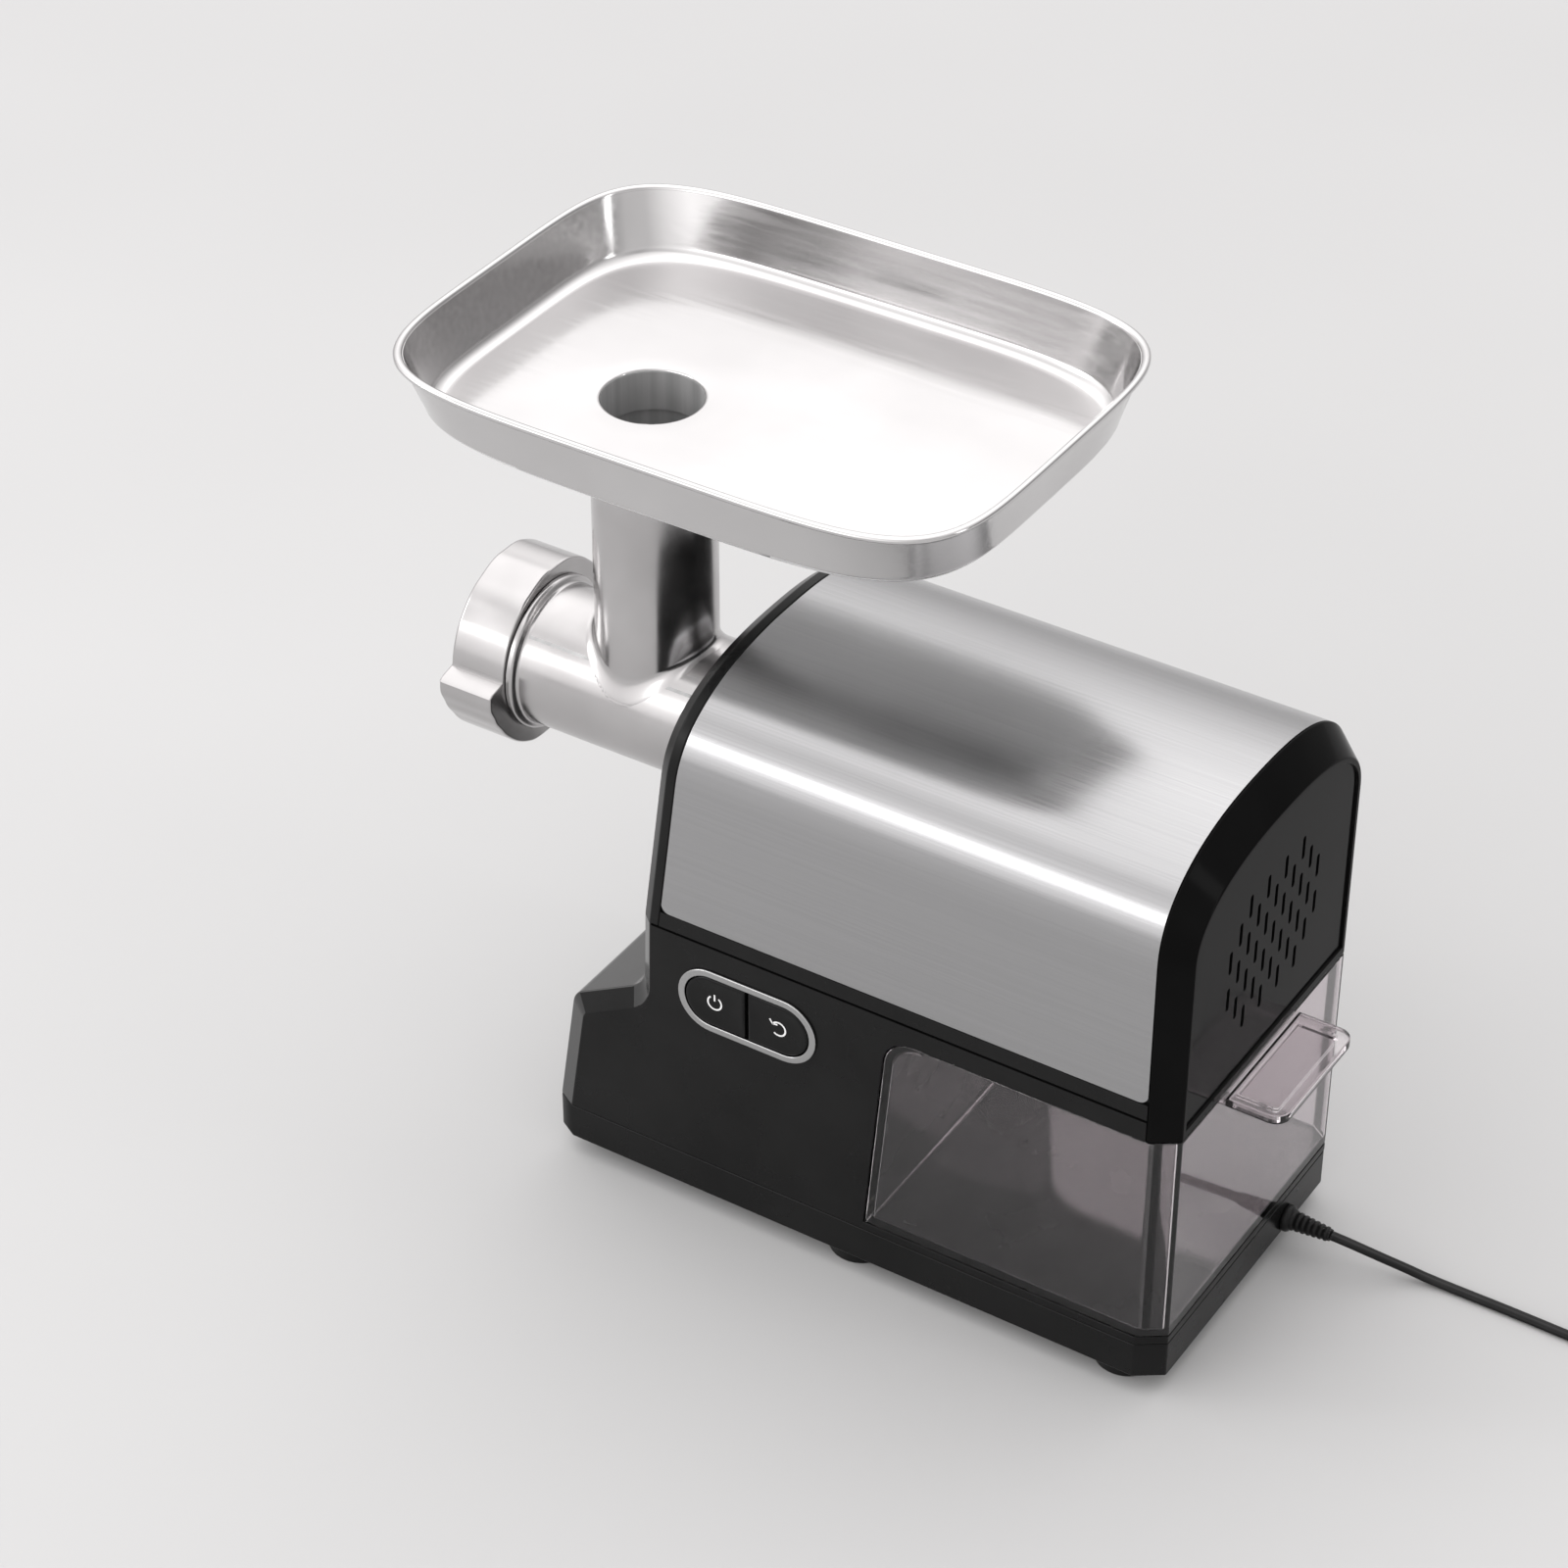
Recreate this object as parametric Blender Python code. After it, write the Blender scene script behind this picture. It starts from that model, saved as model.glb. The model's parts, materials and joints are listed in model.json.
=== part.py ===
"""Electric meat grinder with a feed tray, a gear drive and a clear storage drawer under its motor.

Metres, +Z up. +X runs from the outlet of the grinding head to the vents, and the buttons face -Y.
Every shape is drawn in the housing's own frame, whose Y = 0 is the plane through the grinding head,
and then carried by one empty, so that the world origin is the bottom centre of the bounding box.
"""

import math

import bmesh
import bpy

# ---- driving dimensions ------------------------------------------------------------------------
GAP = 0.0003                 # clearance between pieces that touch
BODY_HALF = 0.080            # half the width of the housing
BODY_TOP = 0.273             # crown of the steel cover
SHOULDER = 0.225             # where the side walls start to curve over
ROUND_POWER = 2.4            # superellipse power of the crown
CROWN_STEPS = 18             # straight pieces along the crown
SEAM_Z = 0.1493              # joint between the lower and the upper housing
STEEL_Z = 0.1576             # lower edge of the steel cover
RAKE = 0.127                 # how far the front leans back for each metre of height
FRONT_X = -0.1062            # front face at the height of the seam
FRONT_EDGE_X = -0.1007       # where the front chamfer starts
CHAMFER_Y = 0.005            # width of the front chamfer across
STEEL_FRONT_X = -0.0960      # front edge of the steel cover at the height of the seam
STEEL_REAR_X = 0.1374        # rear edge of the steel cover
REAR_X = 0.150               # rear face
REAR_EDGE_X = 0.1386         # where the rear chamfer starts
REAR_INSET = 0.0078          # how far the rear face lies inside the sides
REAR_DROP = 0.0140           # how far the rear face lies below the crown
BASE_FRONT_X = -0.1538       # front of the base
CHIN_WIDEN = 1.6             # how much wider the front chamfer is on the chin
BASE_Z = 0.010               # underside of the base plate, which is the height of the feet
BASE_TOP_Z = 0.0282          # joint between the base plate and the lower housing
DRAWER_Z = 0.0325            # underside of the storage drawer
DRAWER_TOP_Z = 0.138         # top edge of the storage drawer
DRAWER_WALL = 0.0025
BAY_FOOT_X = 0.0066          # front of the drawer bay at its floor
BAY_LEAN = 0.0875            # lean of the bay's front wall
PULL_REACH = 0.026           # how far the finger pull stands out behind the drawer
AXIS_Z = 0.2042              # height of the barrel and of the output shaft
NECK_X = -0.1485             # axis of the feed neck
NECK_R = 0.02675
NECK_TOP_Z = 0.350
NECK_BORE_R = 0.0228
BARREL_R = 0.03215
BARREL_BORE_R = 0.0270
BARREL_FRONT_X = -0.226
BARREL_REAR_X = -0.0843
THREAD_R = 0.0336
BEAD_R = 0.0353
PLATE_R = 0.0310
NUT_FRONT_X = -0.2325
NUT_REAR_X = -0.2049
NUT_BASE_R = 0.0368
NUT_EAR_R = 0.0465
TRAY_CENTRE = (-0.1003, 0.0157)
TRAY_HALF = (0.1387, 0.1037)
TRAY_FLOOR_Z = 0.3516
TRAY_RIM_Z = 0.381
TRAY_SHEET = 0.0012
HOLE_R = 0.0215              # hole in the tray, down into the neck
BUTTON_CENTRE = (-0.0516, 0.1206)
RELEASE_YZ = (0.055, 0.196)  # head release button, beside the barrel
INTERMEDIATE_YZ = (0.036, 0.2312)
MOTOR_YZ = (0.008, 0.2102)
CORD_R = 0.0025
CORD_EXIT = (0.1723, 0.0365, 0.016)
COIL_CENTRE = (0.322, 0.078)
COIL_R = 0.029

ORIGIN_X = (TRAY_CENTRE[0] - TRAY_HALF[0] + REAR_X + PULL_REACH) / 2
ORIGIN_Y = TRAY_CENTRE[1]

bpy.context.preferences.edit.use_global_undo = False
for old in list(bpy.data.objects):
    bpy.data.objects.remove(old)

frame = bpy.data.objects.new("housing_frame", None)
frame.location = (-ORIGIN_X, -ORIGIN_Y, 0)
bpy.context.scene.collection.objects.link(frame)


# ---- materials ---------------------------------------------------------------------------------
def material(name, colour, roughness, metallic=0.0, alpha=1.0):
    made = bpy.data.materials.new(name)
    made.use_nodes = True
    shader = made.node_tree.nodes["Principled BSDF"]
    shader.inputs["Base Color"].default_value = (*colour, 1)
    shader.inputs["Roughness"].default_value = roughness
    shader.inputs["Metallic"].default_value = metallic
    shader.inputs["Alpha"].default_value = alpha
    made.diffuse_color = (*colour, alpha)
    return made


BLACK = material("black_plastic", (0.015, 0.015, 0.016), 0.35)
GLOSS = material("gloss_black_plastic", (0.01, 0.01, 0.011), 0.08)
BRUSHED = material("brushed_steel", (0.56, 0.56, 0.57), 0.28, 1.0)
POLISHED = material("polished_steel", (0.78, 0.77, 0.77), 0.12, 1.0)
ALLOY = material("cast_alloy", (0.62, 0.62, 0.63), 0.45, 1.0)
GEAR_STEEL = material("gear_steel", (0.45, 0.45, 0.47), 0.35, 1.0)
NYLON = material("gear_nylon", (0.80, 0.78, 0.70), 0.5)
COPPER = material("copper_winding", (0.60, 0.28, 0.13), 0.35, 1.0)
CLEAR = material("clear_plastic", (0.80, 0.74, 0.78), 0.05, 0.0, 0.3)
RUBBER = material("black_rubber", (0.02, 0.02, 0.02), 0.8)
BOARD = material("circuit_board", (0.03, 0.16, 0.07), 0.5)


# ---- shape tools -------------------------------------------------------------------------------
def loft(rings, closed=False):
    """(points, faces) of a skin through rings of equal length, capped unless it closes on itself."""
    size = len(rings[0])
    points = [point for ring in rings for point in ring]
    spans = len(rings) if closed else len(rings) - 1
    faces = []
    for i in range(spans):
        low = i * size
        high = (i + 1) % len(rings) * size
        for j in range(size):
            k = (j + 1) % size
            faces.append((low + j, low + k, high + k, high + j))
    if not closed:
        faces.append(tuple(reversed(range(size))))
        faces.append(tuple(range((len(rings) - 1) * size, len(rings) * size)))
    return points, faces


def build(name, shape, look, pivot=(0, 0, 0)):
    """An object of this name whose origin is at the pivot, with its normals pointing out."""
    points, faces = shape
    mesh = bpy.data.meshes.new(name)
    mesh.from_pydata([[p[i] - pivot[i] for i in range(3)] for p in points], [], faces)
    work = bmesh.new()
    work.from_mesh(mesh)
    bmesh.ops.recalc_face_normals(work, faces=work.faces)
    if work.calc_volume(signed=True) < 0:
        bmesh.ops.reverse_faces(work, faces=work.faces)
    work.to_mesh(mesh)
    work.free()
    mesh.materials.append(look)
    mesh.shade_smooth()
    mesh.set_sharp_from_angle(angle=math.radians(32))
    made = bpy.data.objects.new(name, mesh)
    made.location = pivot
    made.parent = frame
    bpy.context.scene.collection.objects.link(made)
    return made


def tool(shape):
    """A hidden body that only cuts or adds to another."""
    made = build("tool", shape, BLACK)
    made.hide_render = True
    made.display_type = "WIRE"
    return made


def combine(target, operation, *shapes):
    for shape in shapes:
        step = target.modifiers.new(operation.lower(), "BOOLEAN")
        step.operation = operation
        step.solver = "EXACT"
        step.object = tool(shape) if isinstance(shape, tuple) else shape
    return target


def circle(radius, steps, start=0.0):
    turn = 2 * math.pi / steps
    angles = [start + i * turn for i in range(steps)]
    return [(radius * math.cos(angle), radius * math.sin(angle)) for angle in angles]


def along_x(outline, x):
    return [(x, y, z) for y, z in outline]


def along_y(outline, y):
    return [(x, y, z) for x, z in outline]


def along_z(outline, z):
    return [(x, y, z) for x, y in outline]


def moved(outline, centre):
    return [(a + centre[0], b + centre[1]) for a, b in outline]


def prism(outline, axis, low, high):
    place = {"x": along_x, "y": along_y, "z": along_z}[axis]
    return loft([place(outline, low), place(outline, high)])


def block(low, high):
    corners = [(low[0], low[1]), (high[0], low[1]), (high[0], high[1]), (low[0], high[1])]
    return prism(corners, "z", low[2], high[2])


def rod(axis, centre, radius, low, high, steps=24):
    return prism(moved(circle(radius, steps), centre), axis, low, high)


def turned(profile, axis, centre, steps=32, closed=False):
    """Solid of revolution: profile holds (place along the axis, radius) in order."""
    place = {"x": along_x, "z": along_z}[axis]
    return loft([place(moved(circle(r, steps), centre), at) for at, r in profile], closed)


def rounded(corners, steps=5):
    """The polyline with each (a, b, radius) corner turned into an arc, whichever way it turns."""
    out = []
    last = len(corners) - 1
    for i, (a, b, radius) in enumerate(corners):
        if i in (0, last) or radius <= 0:
            out.append((a, b))
            continue
        before = (corners[i - 1][0] - a, corners[i - 1][1] - b)
        after = (corners[i + 1][0] - a, corners[i + 1][1] - b)
        u = [v / math.hypot(*before) for v in before]
        w = [v / math.hypot(*after) for v in after]
        half = math.acos(max(-1, min(1, u[0] * w[0] + u[1] * w[1]))) / 2
        reach = radius / math.tan(half)
        centre = [(a, b)[k] + (u[k] + w[k]) / math.hypot(u[0] + w[0], u[1] + w[1]) * radius / math.sin(half)
                  for k in (0, 1)]
        begin = math.atan2(b + u[1] * reach - centre[1], a + u[0] * reach - centre[0])
        end = math.atan2(b + w[1] * reach - centre[1], a + w[0] * reach - centre[0])
        sweep = (end - begin + math.pi) % (2 * math.pi) - math.pi
        for k in range(steps + 1):
            angle = begin + sweep * k / steps
            out.append((centre[0] + radius * math.cos(angle), centre[1] + radius * math.sin(angle)))
    return out


def stadium(centre, half_long, half_high, steps=8):
    """Outline with straight top and bottom and round ends."""
    flat = half_long - half_high
    out = []
    for side in (1, -1):
        for k in range(steps + 1):
            angle = -math.pi / 2 + math.pi * k / steps
            out.append((centre[0] + side * (flat + half_high * math.cos(angle)),
                        centre[1] + side * half_high * math.sin(angle)))
    return out


def superellipse(half_a, half_b, power, steps):
    out = []
    for i in range(steps):
        angle = 2 * math.pi * i / steps
        c, s = math.cos(angle), math.sin(angle)
        a = half_a * math.copysign(abs(c) ** (2 / power), c)
        b = half_b * math.copysign(abs(s) ** (2 / power), s)
        out.append((a, b))
    return out


def crown(side, top):
    """The curved roof line from -Y to +Y, this far inside the sides and below the crown."""
    half = BODY_HALF - side
    rise = BODY_TOP - top - SHOULDER
    out = []
    for i in range(CROWN_STEPS + 1):
        angle = math.pi * (1 - i / CROWN_STEPS)
        c, s = math.cos(angle), abs(math.sin(angle))
        y = half * math.copysign(abs(c) ** (2 / ROUND_POWER), c)
        out.append((y, SHOULDER + rise * s ** (2 / ROUND_POWER)))
    return out


def loaf(side, top, bottom):
    """Closed cross-section of the housing: flat bottom, upright sides and the crown."""
    half = BODY_HALF - side
    return [(-half, bottom)] + crown(side, top) + [(half, bottom)]


def leaning(outline, x):
    """The outline set across X, leaning back with the front of the housing."""
    return [(x + RAKE * (z - SEAM_Z), y, z) for y, z in outline]


def join_circles(circles, steps=40):
    """Outline of the smallest convex shape around circles of (a, b, radius)."""
    out = []
    for i in range(steps):
        n = (math.cos(2 * math.pi * i / steps), math.sin(2 * math.pi * i / steps))
        a, b, r = max(circles, key=lambda c: c[0] * n[0] + c[1] * n[1] + c[2])
        out.append((a + r * n[0], b + r * n[1]))
    return out


def gear(teeth, module, centre, aim):
    """Outline of a spur gear with a tooth centred on the aim angle."""
    pitch = 2 * math.pi / teeth
    pitch_r = teeth * module / 2
    out = []
    for i in range(teeth):
        middle = aim + i * pitch
        for part, radius in ((-0.29, -1.2), (-0.11, 0.82), (0.11, 0.82), (0.29, -1.2)):
            r = pitch_r + radius * module
            angle = middle + part * pitch
            out.append((centre[0] + r * math.cos(angle), centre[1] + r * math.sin(angle)))
    return out


# ---- housing -----------------------------------------------------------------------------------
def chin_line(inset):
    """Front of the lower housing from the seam down to the base, this far inside its true line."""
    foot = (BASE_FRONT_X, BASE_TOP_Z)
    brow = (-0.1448, 0.0890)
    dip = (-0.1072, 0.1100)
    lines = [((FRONT_X, SEAM_Z), dip), (dip, brow), (brow, foot)]
    shifted = []
    for ((ax, az), (bx, bz)), widen in zip(lines, (1, CHIN_WIDEN, CHIN_WIDEN)):
        reach = inset * widen / math.hypot(bx - ax, bz - az)
        start = (ax - (bz - az) * reach, az + (bx - ax) * reach)
        shifted.append((start, (bx - ax, bz - az)))

    def at_height(line, z):
        (px, pz), (dx, dz) = line
        return px + dx * (z - pz) / dz, z

    def meeting(first, second):
        (px, pz), (dx, dz) = first
        (qx, qz), (ex, ez) = second
        t = ((qx - px) * ez - (qz - pz) * ex) / (dx * ez - dz * ex)
        return px + dx * t, pz + dz * t

    top = at_height(shifted[0], SEAM_Z)
    hollow = meeting(shifted[0], shifted[1])
    edge = meeting(shifted[1], shifted[2])
    bottom = at_height(shifted[2], BASE_TOP_Z)
    return rounded([(*top, 0), (*hollow, 0.014 + inset), (*edge, max(0.010 - inset, 0.004)), (*bottom, 0)])


def bay_line(shift, floor):
    """Front wall of the drawer bay from its floor up, with its rounded top corner."""
    foot = (BAY_FOOT_X + shift, DRAWER_Z - GAP)
    height = DRAWER_TOP_Z + GAP
    top = (foot[0] + BAY_LEAN * (height - foot[1]), height)
    low = (foot[0] + BAY_LEAN * (floor - foot[1]), floor)
    return rounded([(*low, 0), (*top, 0.014), (REAR_X, height, 0)])


def lower_housing():
    def side(inset):
        bay = bay_line(0, DRAWER_Z - GAP)
        rear = [(STEEL_REAR_X, DRAWER_TOP_Z + GAP), (STEEL_REAR_X, SEAM_Z)]
        floor = [(REAR_X, BASE_TOP_Z), (REAR_X, DRAWER_Z - GAP)]
        return chin_line(inset) + floor + bay[:-1] + rear

    outer_y = BODY_HALF - CHAMFER_Y
    chamfer_x = FRONT_EDGE_X - FRONT_X
    rings = [along_y(side(chamfer_x), -BODY_HALF), along_y(side(0), -outer_y),
             along_y(side(0), outer_y), along_y(side(chamfer_x), BODY_HALF)]
    shell = build("lower_housing", loft(rings), BLACK)
    wall = 0.0035
    inner_y = BODY_HALF - 0.004
    bay_low = BAY_FOOT_X - 0.003
    ceiling = SEAM_Z - 0.003
    chin = [p for p in chin_line(wall) if p[1] < ceiling]
    room = [(FRONT_X + wall, ceiling)] + chin + [(BASE_FRONT_X + wall, 0.02), (bay_low - 0.001, 0.02),
                                                 (bay_low + 0.0075, 0.120), (bay_low + 0.0075, ceiling)]
    aperture = stadium(BUTTON_CENTRE, 0.0330, 0.0148)
    combine(shell, "DIFFERENCE",
            prism(room, "y", -inner_y, inner_y),
            block((0.034, -0.075, 0.1418), (0.133, 0.075, 0.16)),
            prism(aperture, "y", -0.084, -0.070),
            rod("z", (-0.060, 0.040), 0.012, 0.140, 0.155, 16),
            *rear_corners(0.02, 0.06))
    return shell


def rear_corners(low, high):
    """Wedges that cut the two upright chamfers at the rear."""
    reach = 0.01
    out = []
    for side in (-1, 1):
        slope = (REAR_X - REAR_EDGE_X) / REAR_INSET
        a = (REAR_EDGE_X, side * BODY_HALF)
        b = (REAR_X, side * (BODY_HALF - REAR_INSET))
        wide = (a[0] - slope * reach, side * (BODY_HALF + reach))
        deep = (b[0] + slope * reach, side * (BODY_HALF - REAR_INSET - reach))
        far = (deep[0], wide[1])
        out.append(prism([wide, deep, far], "z", low, high))
    return out


def base_plate():
    def plan(inset):
        half = BODY_HALF - inset
        front = BASE_FRONT_X + inset
        rear = REAR_X - inset
        step = (FRONT_EDGE_X - FRONT_X) * CHIN_WIDEN
        near = [(front, -half + CHAMFER_Y), (front + step, -half), (REAR_EDGE_X, -half),
                (rear, -half + REAR_INSET)]
        return near + [(x, -y) for x, y in reversed(near)]

    edge = 0.0018
    rings = [along_z(plan(edge), BASE_Z), along_z(plan(0), BASE_Z + edge),
             along_z(plan(0), BASE_TOP_Z - GAP)]
    plate = build("base_plate", loft(rings), BLACK)
    combine(plate, "DIFFERENCE", block((-0.1475, -0.075, BASE_Z + 0.003), (0.002, 0.075, 0.04)),
            rod("x", CORD_EXIT[1:], 0.0046, 0.132, 0.160, 16))
    for x, y in foot_places():
        combine(plate, "DIFFERENCE", rod("z", (x, y), 0.0023, 0.005, 0.0215, 12))
    return plate


def foot_places():
    """Six feet: a pair well inside the chin, a pair at the middle and a pair at the rear."""
    pairs = ((-0.122, 0.036), (-0.0055, 0.061), (0.1255, 0.060))
    return [(x, side * y) for x, y in pairs for side in (-1, 1)]


def feet():
    names = [f"foot_{place}_{side}" for place in ("front", "middle", "rear") for side in ("near", "far")]
    for name, (x, y) in zip(names, foot_places()):
        profile = [(0.0, 0.0130), (0.0, 0.0045), (0.0045, 0.0045), (0.0045, 0.0025), (BASE_Z - GAP, 0.0025),
                   (BASE_Z - GAP, 0.0152), (0.0025, 0.0145)]
        build(name, turned(profile, "z", (x, y), 24, closed=True), RUBBER)
        screw = [(0.0022, 0.0036), (0.0042, 0.0040), (0.0042, 0.0020), (0.0205, 0.0020)]
        build(name.replace("foot", "foot_screw"), turned(screw, "z", (x, y), 12), GEAR_STEEL)


def front_frame():
    inner = 0.0035
    rings = [leaning(loaf(CHAMFER_Y, CHAMFER_Y, SEAM_Z + inner), FRONT_X + inner),
             leaning(loaf(0.004, 0.004, SEAM_Z + inner), STEEL_FRONT_X - GAP),
             leaning(loaf(0, 0, SEAM_Z + GAP), STEEL_FRONT_X - GAP),
             leaning(loaf(0, 0, SEAM_Z + GAP), FRONT_EDGE_X),
             leaning(loaf(CHAMFER_Y, CHAMFER_Y, SEAM_Z + GAP), FRONT_X)]
    piece = build("front_frame", loft(rings), BLACK)
    return combine(piece, "DIFFERENCE", rod("x", (0, AXIS_Z), 0.0384, -0.13, -0.07, 40),
                   rod("x", RELEASE_YZ, 0.0083, -0.13, -0.07, 20))


def upper_housing():
    skin = 0.0013
    wall = 0.004
    ledge = STEEL_Z - GAP
    half = BODY_HALF
    outer = ([(-half, SEAM_Z + GAP), (-half, ledge), (-half + skin, ledge)] + crown(skin, skin)
             + [(half - skin, ledge), (half, ledge), (half, SEAM_Z + GAP)])
    floor = SEAM_Z + 0.0035
    inner_half = half - wall
    side_points = [(-inner_half, floor), (-inner_half, ledge - 0.001), (-inner_half, ledge + 0.002)]
    inner = side_points + crown(wall, wall) + [(-y, z) for y, z in reversed(side_points)]
    rings = [leaning(outer, STEEL_FRONT_X), along_x(outer, STEEL_REAR_X),
             along_x(inner, STEEL_REAR_X), leaning(inner, STEEL_FRONT_X)]
    piece = build("upper_housing", loft(rings, closed=True), BLACK)
    return combine(piece, "DIFFERENCE", rod("z", (-0.060, 0.040), 0.012, 0.145, 0.160, 16))


def steel_cover():
    sheet = 0.001
    outer = loaf(0, 0, STEEL_Z)
    inner = loaf(sheet, sheet, STEEL_Z)
    arch = outer + inner[::-1]
    return build("steel_cover", loft([leaning(arch, STEEL_FRONT_X), along_x(arch, STEEL_REAR_X)]), BRUSHED)


def vent_slots():
    """Staggered upright slots in seven rows, fewer in the outer rows."""
    column, row = 0.0076, 0.0093
    centre_z = 0.1970
    out = []
    for r, count in zip(range(-3, 4), (4, 5, 6, 5, 6, 5, 4)):
        for k in range(count):
            y = (2 * k - count + 1) * column
            z = centre_z + r * row
            flat = [(b, a) for a, b in stadium((z, y), 0.0057, 0.0013, 2)]
            out.append(prism(flat, "x", 0.140, 0.155))
    return out


def merge_shapes(shapes):
    """Several separate bodies as one mesh, for one cut."""
    points, faces = [], []
    for more_points, more_faces in shapes:
        start = len(points)
        points += more_points
        faces += [tuple(start + i for i in face) for face in more_faces]
    return points, faces


def rear_cover():
    front = STEEL_REAR_X + GAP
    low = DRAWER_TOP_Z + 2 * GAP
    rings = [along_x(loaf(REAR_INSET + 0.003, REAR_DROP + 0.003, low + 0.003), REAR_X - 0.0040),
             along_x(loaf(0.004, 0.004, low + 0.003), front),
             along_x(loaf(0, 0, low), front),
             along_x(loaf(0, 0, low), REAR_EDGE_X),
             along_x(loaf(REAR_INSET, REAR_DROP, low), REAR_X)]
    piece = build("rear_cover", loft(rings), GLOSS)
    rim = 0.0025
    sunk = loaf(REAR_INSET + rim, REAR_DROP + rim, low + 0.004)
    recess = prism(sunk, "x", REAR_X - 0.001, REAR_X + 0.005)
    return combine(piece, "DIFFERENCE", recess, merge_shapes(vent_slots()))


# ---- controls ----------------------------------------------------------------------------------


def button_bezel():
    rings = [along_y(stadium(BUTTON_CENTRE, a, b), y) for y, a, b in (
        (-0.0812, 0.0338, 0.0156), (-0.0803, 0.0344, 0.0162), (-0.0803, 0.0327, 0.0145),
        (-0.0760, 0.0327, 0.0145), (-0.0760, 0.0311, 0.0128), (-0.0809, 0.0311, 0.0128))]
    return build("button_bezel", loft(rings, closed=True), POLISHED)


def push_button(name, side):
    """Half of a stadium, with a stem towards its switch. side is -1 for the front half."""
    radius = 0.0124
    flat = 0.0306 - radius

    def half(scale):
        r = radius * scale
        arc = [(BUTTON_CENTRE[0] + side * (flat + r * math.cos(t)), BUTTON_CENTRE[1] + r * math.sin(t))
               for t in (math.pi * (k / 10 - 0.5) for k in range(11))]
        inner = BUTTON_CENTRE[0] + side * (0.0004 + radius - r)
        return arc + [(inner, BUTTON_CENTRE[1] + r), (inner, BUTTON_CENTRE[1] - r)]

    rings = [along_y(half(0.95), -0.0812), along_y(half(1), -0.0807), along_y(half(1), -0.0772)]
    middle = (BUTTON_CENTRE[0] + side * 0.0145, BUTTON_CENTRE[1])
    piece = build(name, loft(rings), BLACK, (middle[0], -0.0772, middle[1]))
    stem = tool(rod("y", middle, 0.003, -0.0780, -0.0700, 12))
    return combine(piece, "UNION", stem)


def switches():
    for name, side in (("power_switch", -1), ("reverse_switch", 1)):
        x = BUTTON_CENTRE[0] + side * 0.0145
        z = BUTTON_CENTRE[1]
        piece = build(name, block((x - 0.010, -0.0674, z - 0.0065), (x + 0.010, -0.052, z + 0.0065)), BLACK)
        for tab_x in (x - 0.006, x + 0.006):
            tab = block((tab_x - 0.001, -0.053, z - 0.003), (tab_x + 0.001, -0.046, z + 0.003))
            combine(piece, "UNION", tab)


def circuit_board():
    piece = build("circuit_board", block((-0.105, 0.0200, 0.040), (-0.035, 0.0216, 0.090)), BOARD)
    relay = block((-0.098, 0.0215, 0.062), (-0.078, 0.0370, 0.078))
    capacitor = rod("y", (-0.060, 0.070), 0.009, 0.0215, 0.042, 16)
    terminal = block((-0.100, 0.0215, 0.044), (-0.060, 0.0310, 0.053))
    return combine(piece, "UNION", relay, capacitor, terminal)


def head_release_button():
    y, z = RELEASE_YZ
    front = FRONT_X + RAKE * (z - SEAM_Z)
    profile = [(front - 0.0045, 0.0068), (front - 0.0035, 0.0078), (front + 0.0050, 0.0078),
               (front + 0.0050, 0.0040), (front + 0.0130, 0.0040)]
    return build("head_release_button", turned(profile, "x", (y, z), 20), GLOSS, (front, y, z))


# ---- drive -------------------------------------------------------------------------------------
def head_collar():
    profile = [(-0.1090, 0.0325), (-0.1090, 0.0365), (-0.1080, 0.0375), (-0.0880, 0.0375), (-0.0880, 0.0430),
               (-0.0800, 0.0430), (-0.0800, 0.0103), (-0.0836, 0.0103), (-0.0836, 0.0325)]
    return build("head_collar", turned(profile, "x", (0, AXIS_Z), 36, closed=True), ALLOY)


def gearbox():
    by, bz = INTERMEDIATE_YZ
    outer = join_circles([(0, AXIS_Z, 0.043), (by, bz, 0.014)])
    inner = join_circles([(0, AXIS_Z, 0.040), (by, bz, 0.011)])
    rings = [along_x(inner, -0.0754), along_x(inner, -0.0520),
             along_x(outer, -0.0520), along_x(outer, -0.0794)]
    case = build("gearbox_case", loft(rings), ALLOY)
    combine(case, "UNION", block((-0.0790, -0.030, 0.1531), (-0.0525, 0.030, 0.1635)))
    combine(case, "DIFFERENCE", rod("x", (0, AXIS_Z), 0.0163, -0.09, -0.07, 24),
            rod("x", INTERMEDIATE_YZ, 0.0043, -0.09, -0.07, 16))
    cover = build("gearbox_cover", prism(outer, "x", -0.0517, -0.0470), ALLOY)
    combine(cover, "DIFFERENCE", rod("x", (0, AXIS_Z), 0.0113, -0.06, -0.04, 24),
            rod("x", INTERMEDIATE_YZ, 0.0083, -0.06, -0.04, 20))
    ring("output_front_bearing", (0, AXIS_Z), 0.0160, 0.0083, -0.0791, -0.0723)
    ring("output_rear_bushing", (0, AXIS_Z), 0.0110, 0.0063, -0.0517, -0.0460)
    ring("intermediate_bushing", INTERMEDIATE_YZ, 0.0080, 0.0043, -0.0517, -0.0460)


def ring(name, centre, outer, inner, low, high):
    profile = [(low, inner), (low, outer), (high, outer), (high, inner)]
    return build(name, turned(profile, "x", centre, 24, closed=True), GEAR_STEEL)


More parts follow.
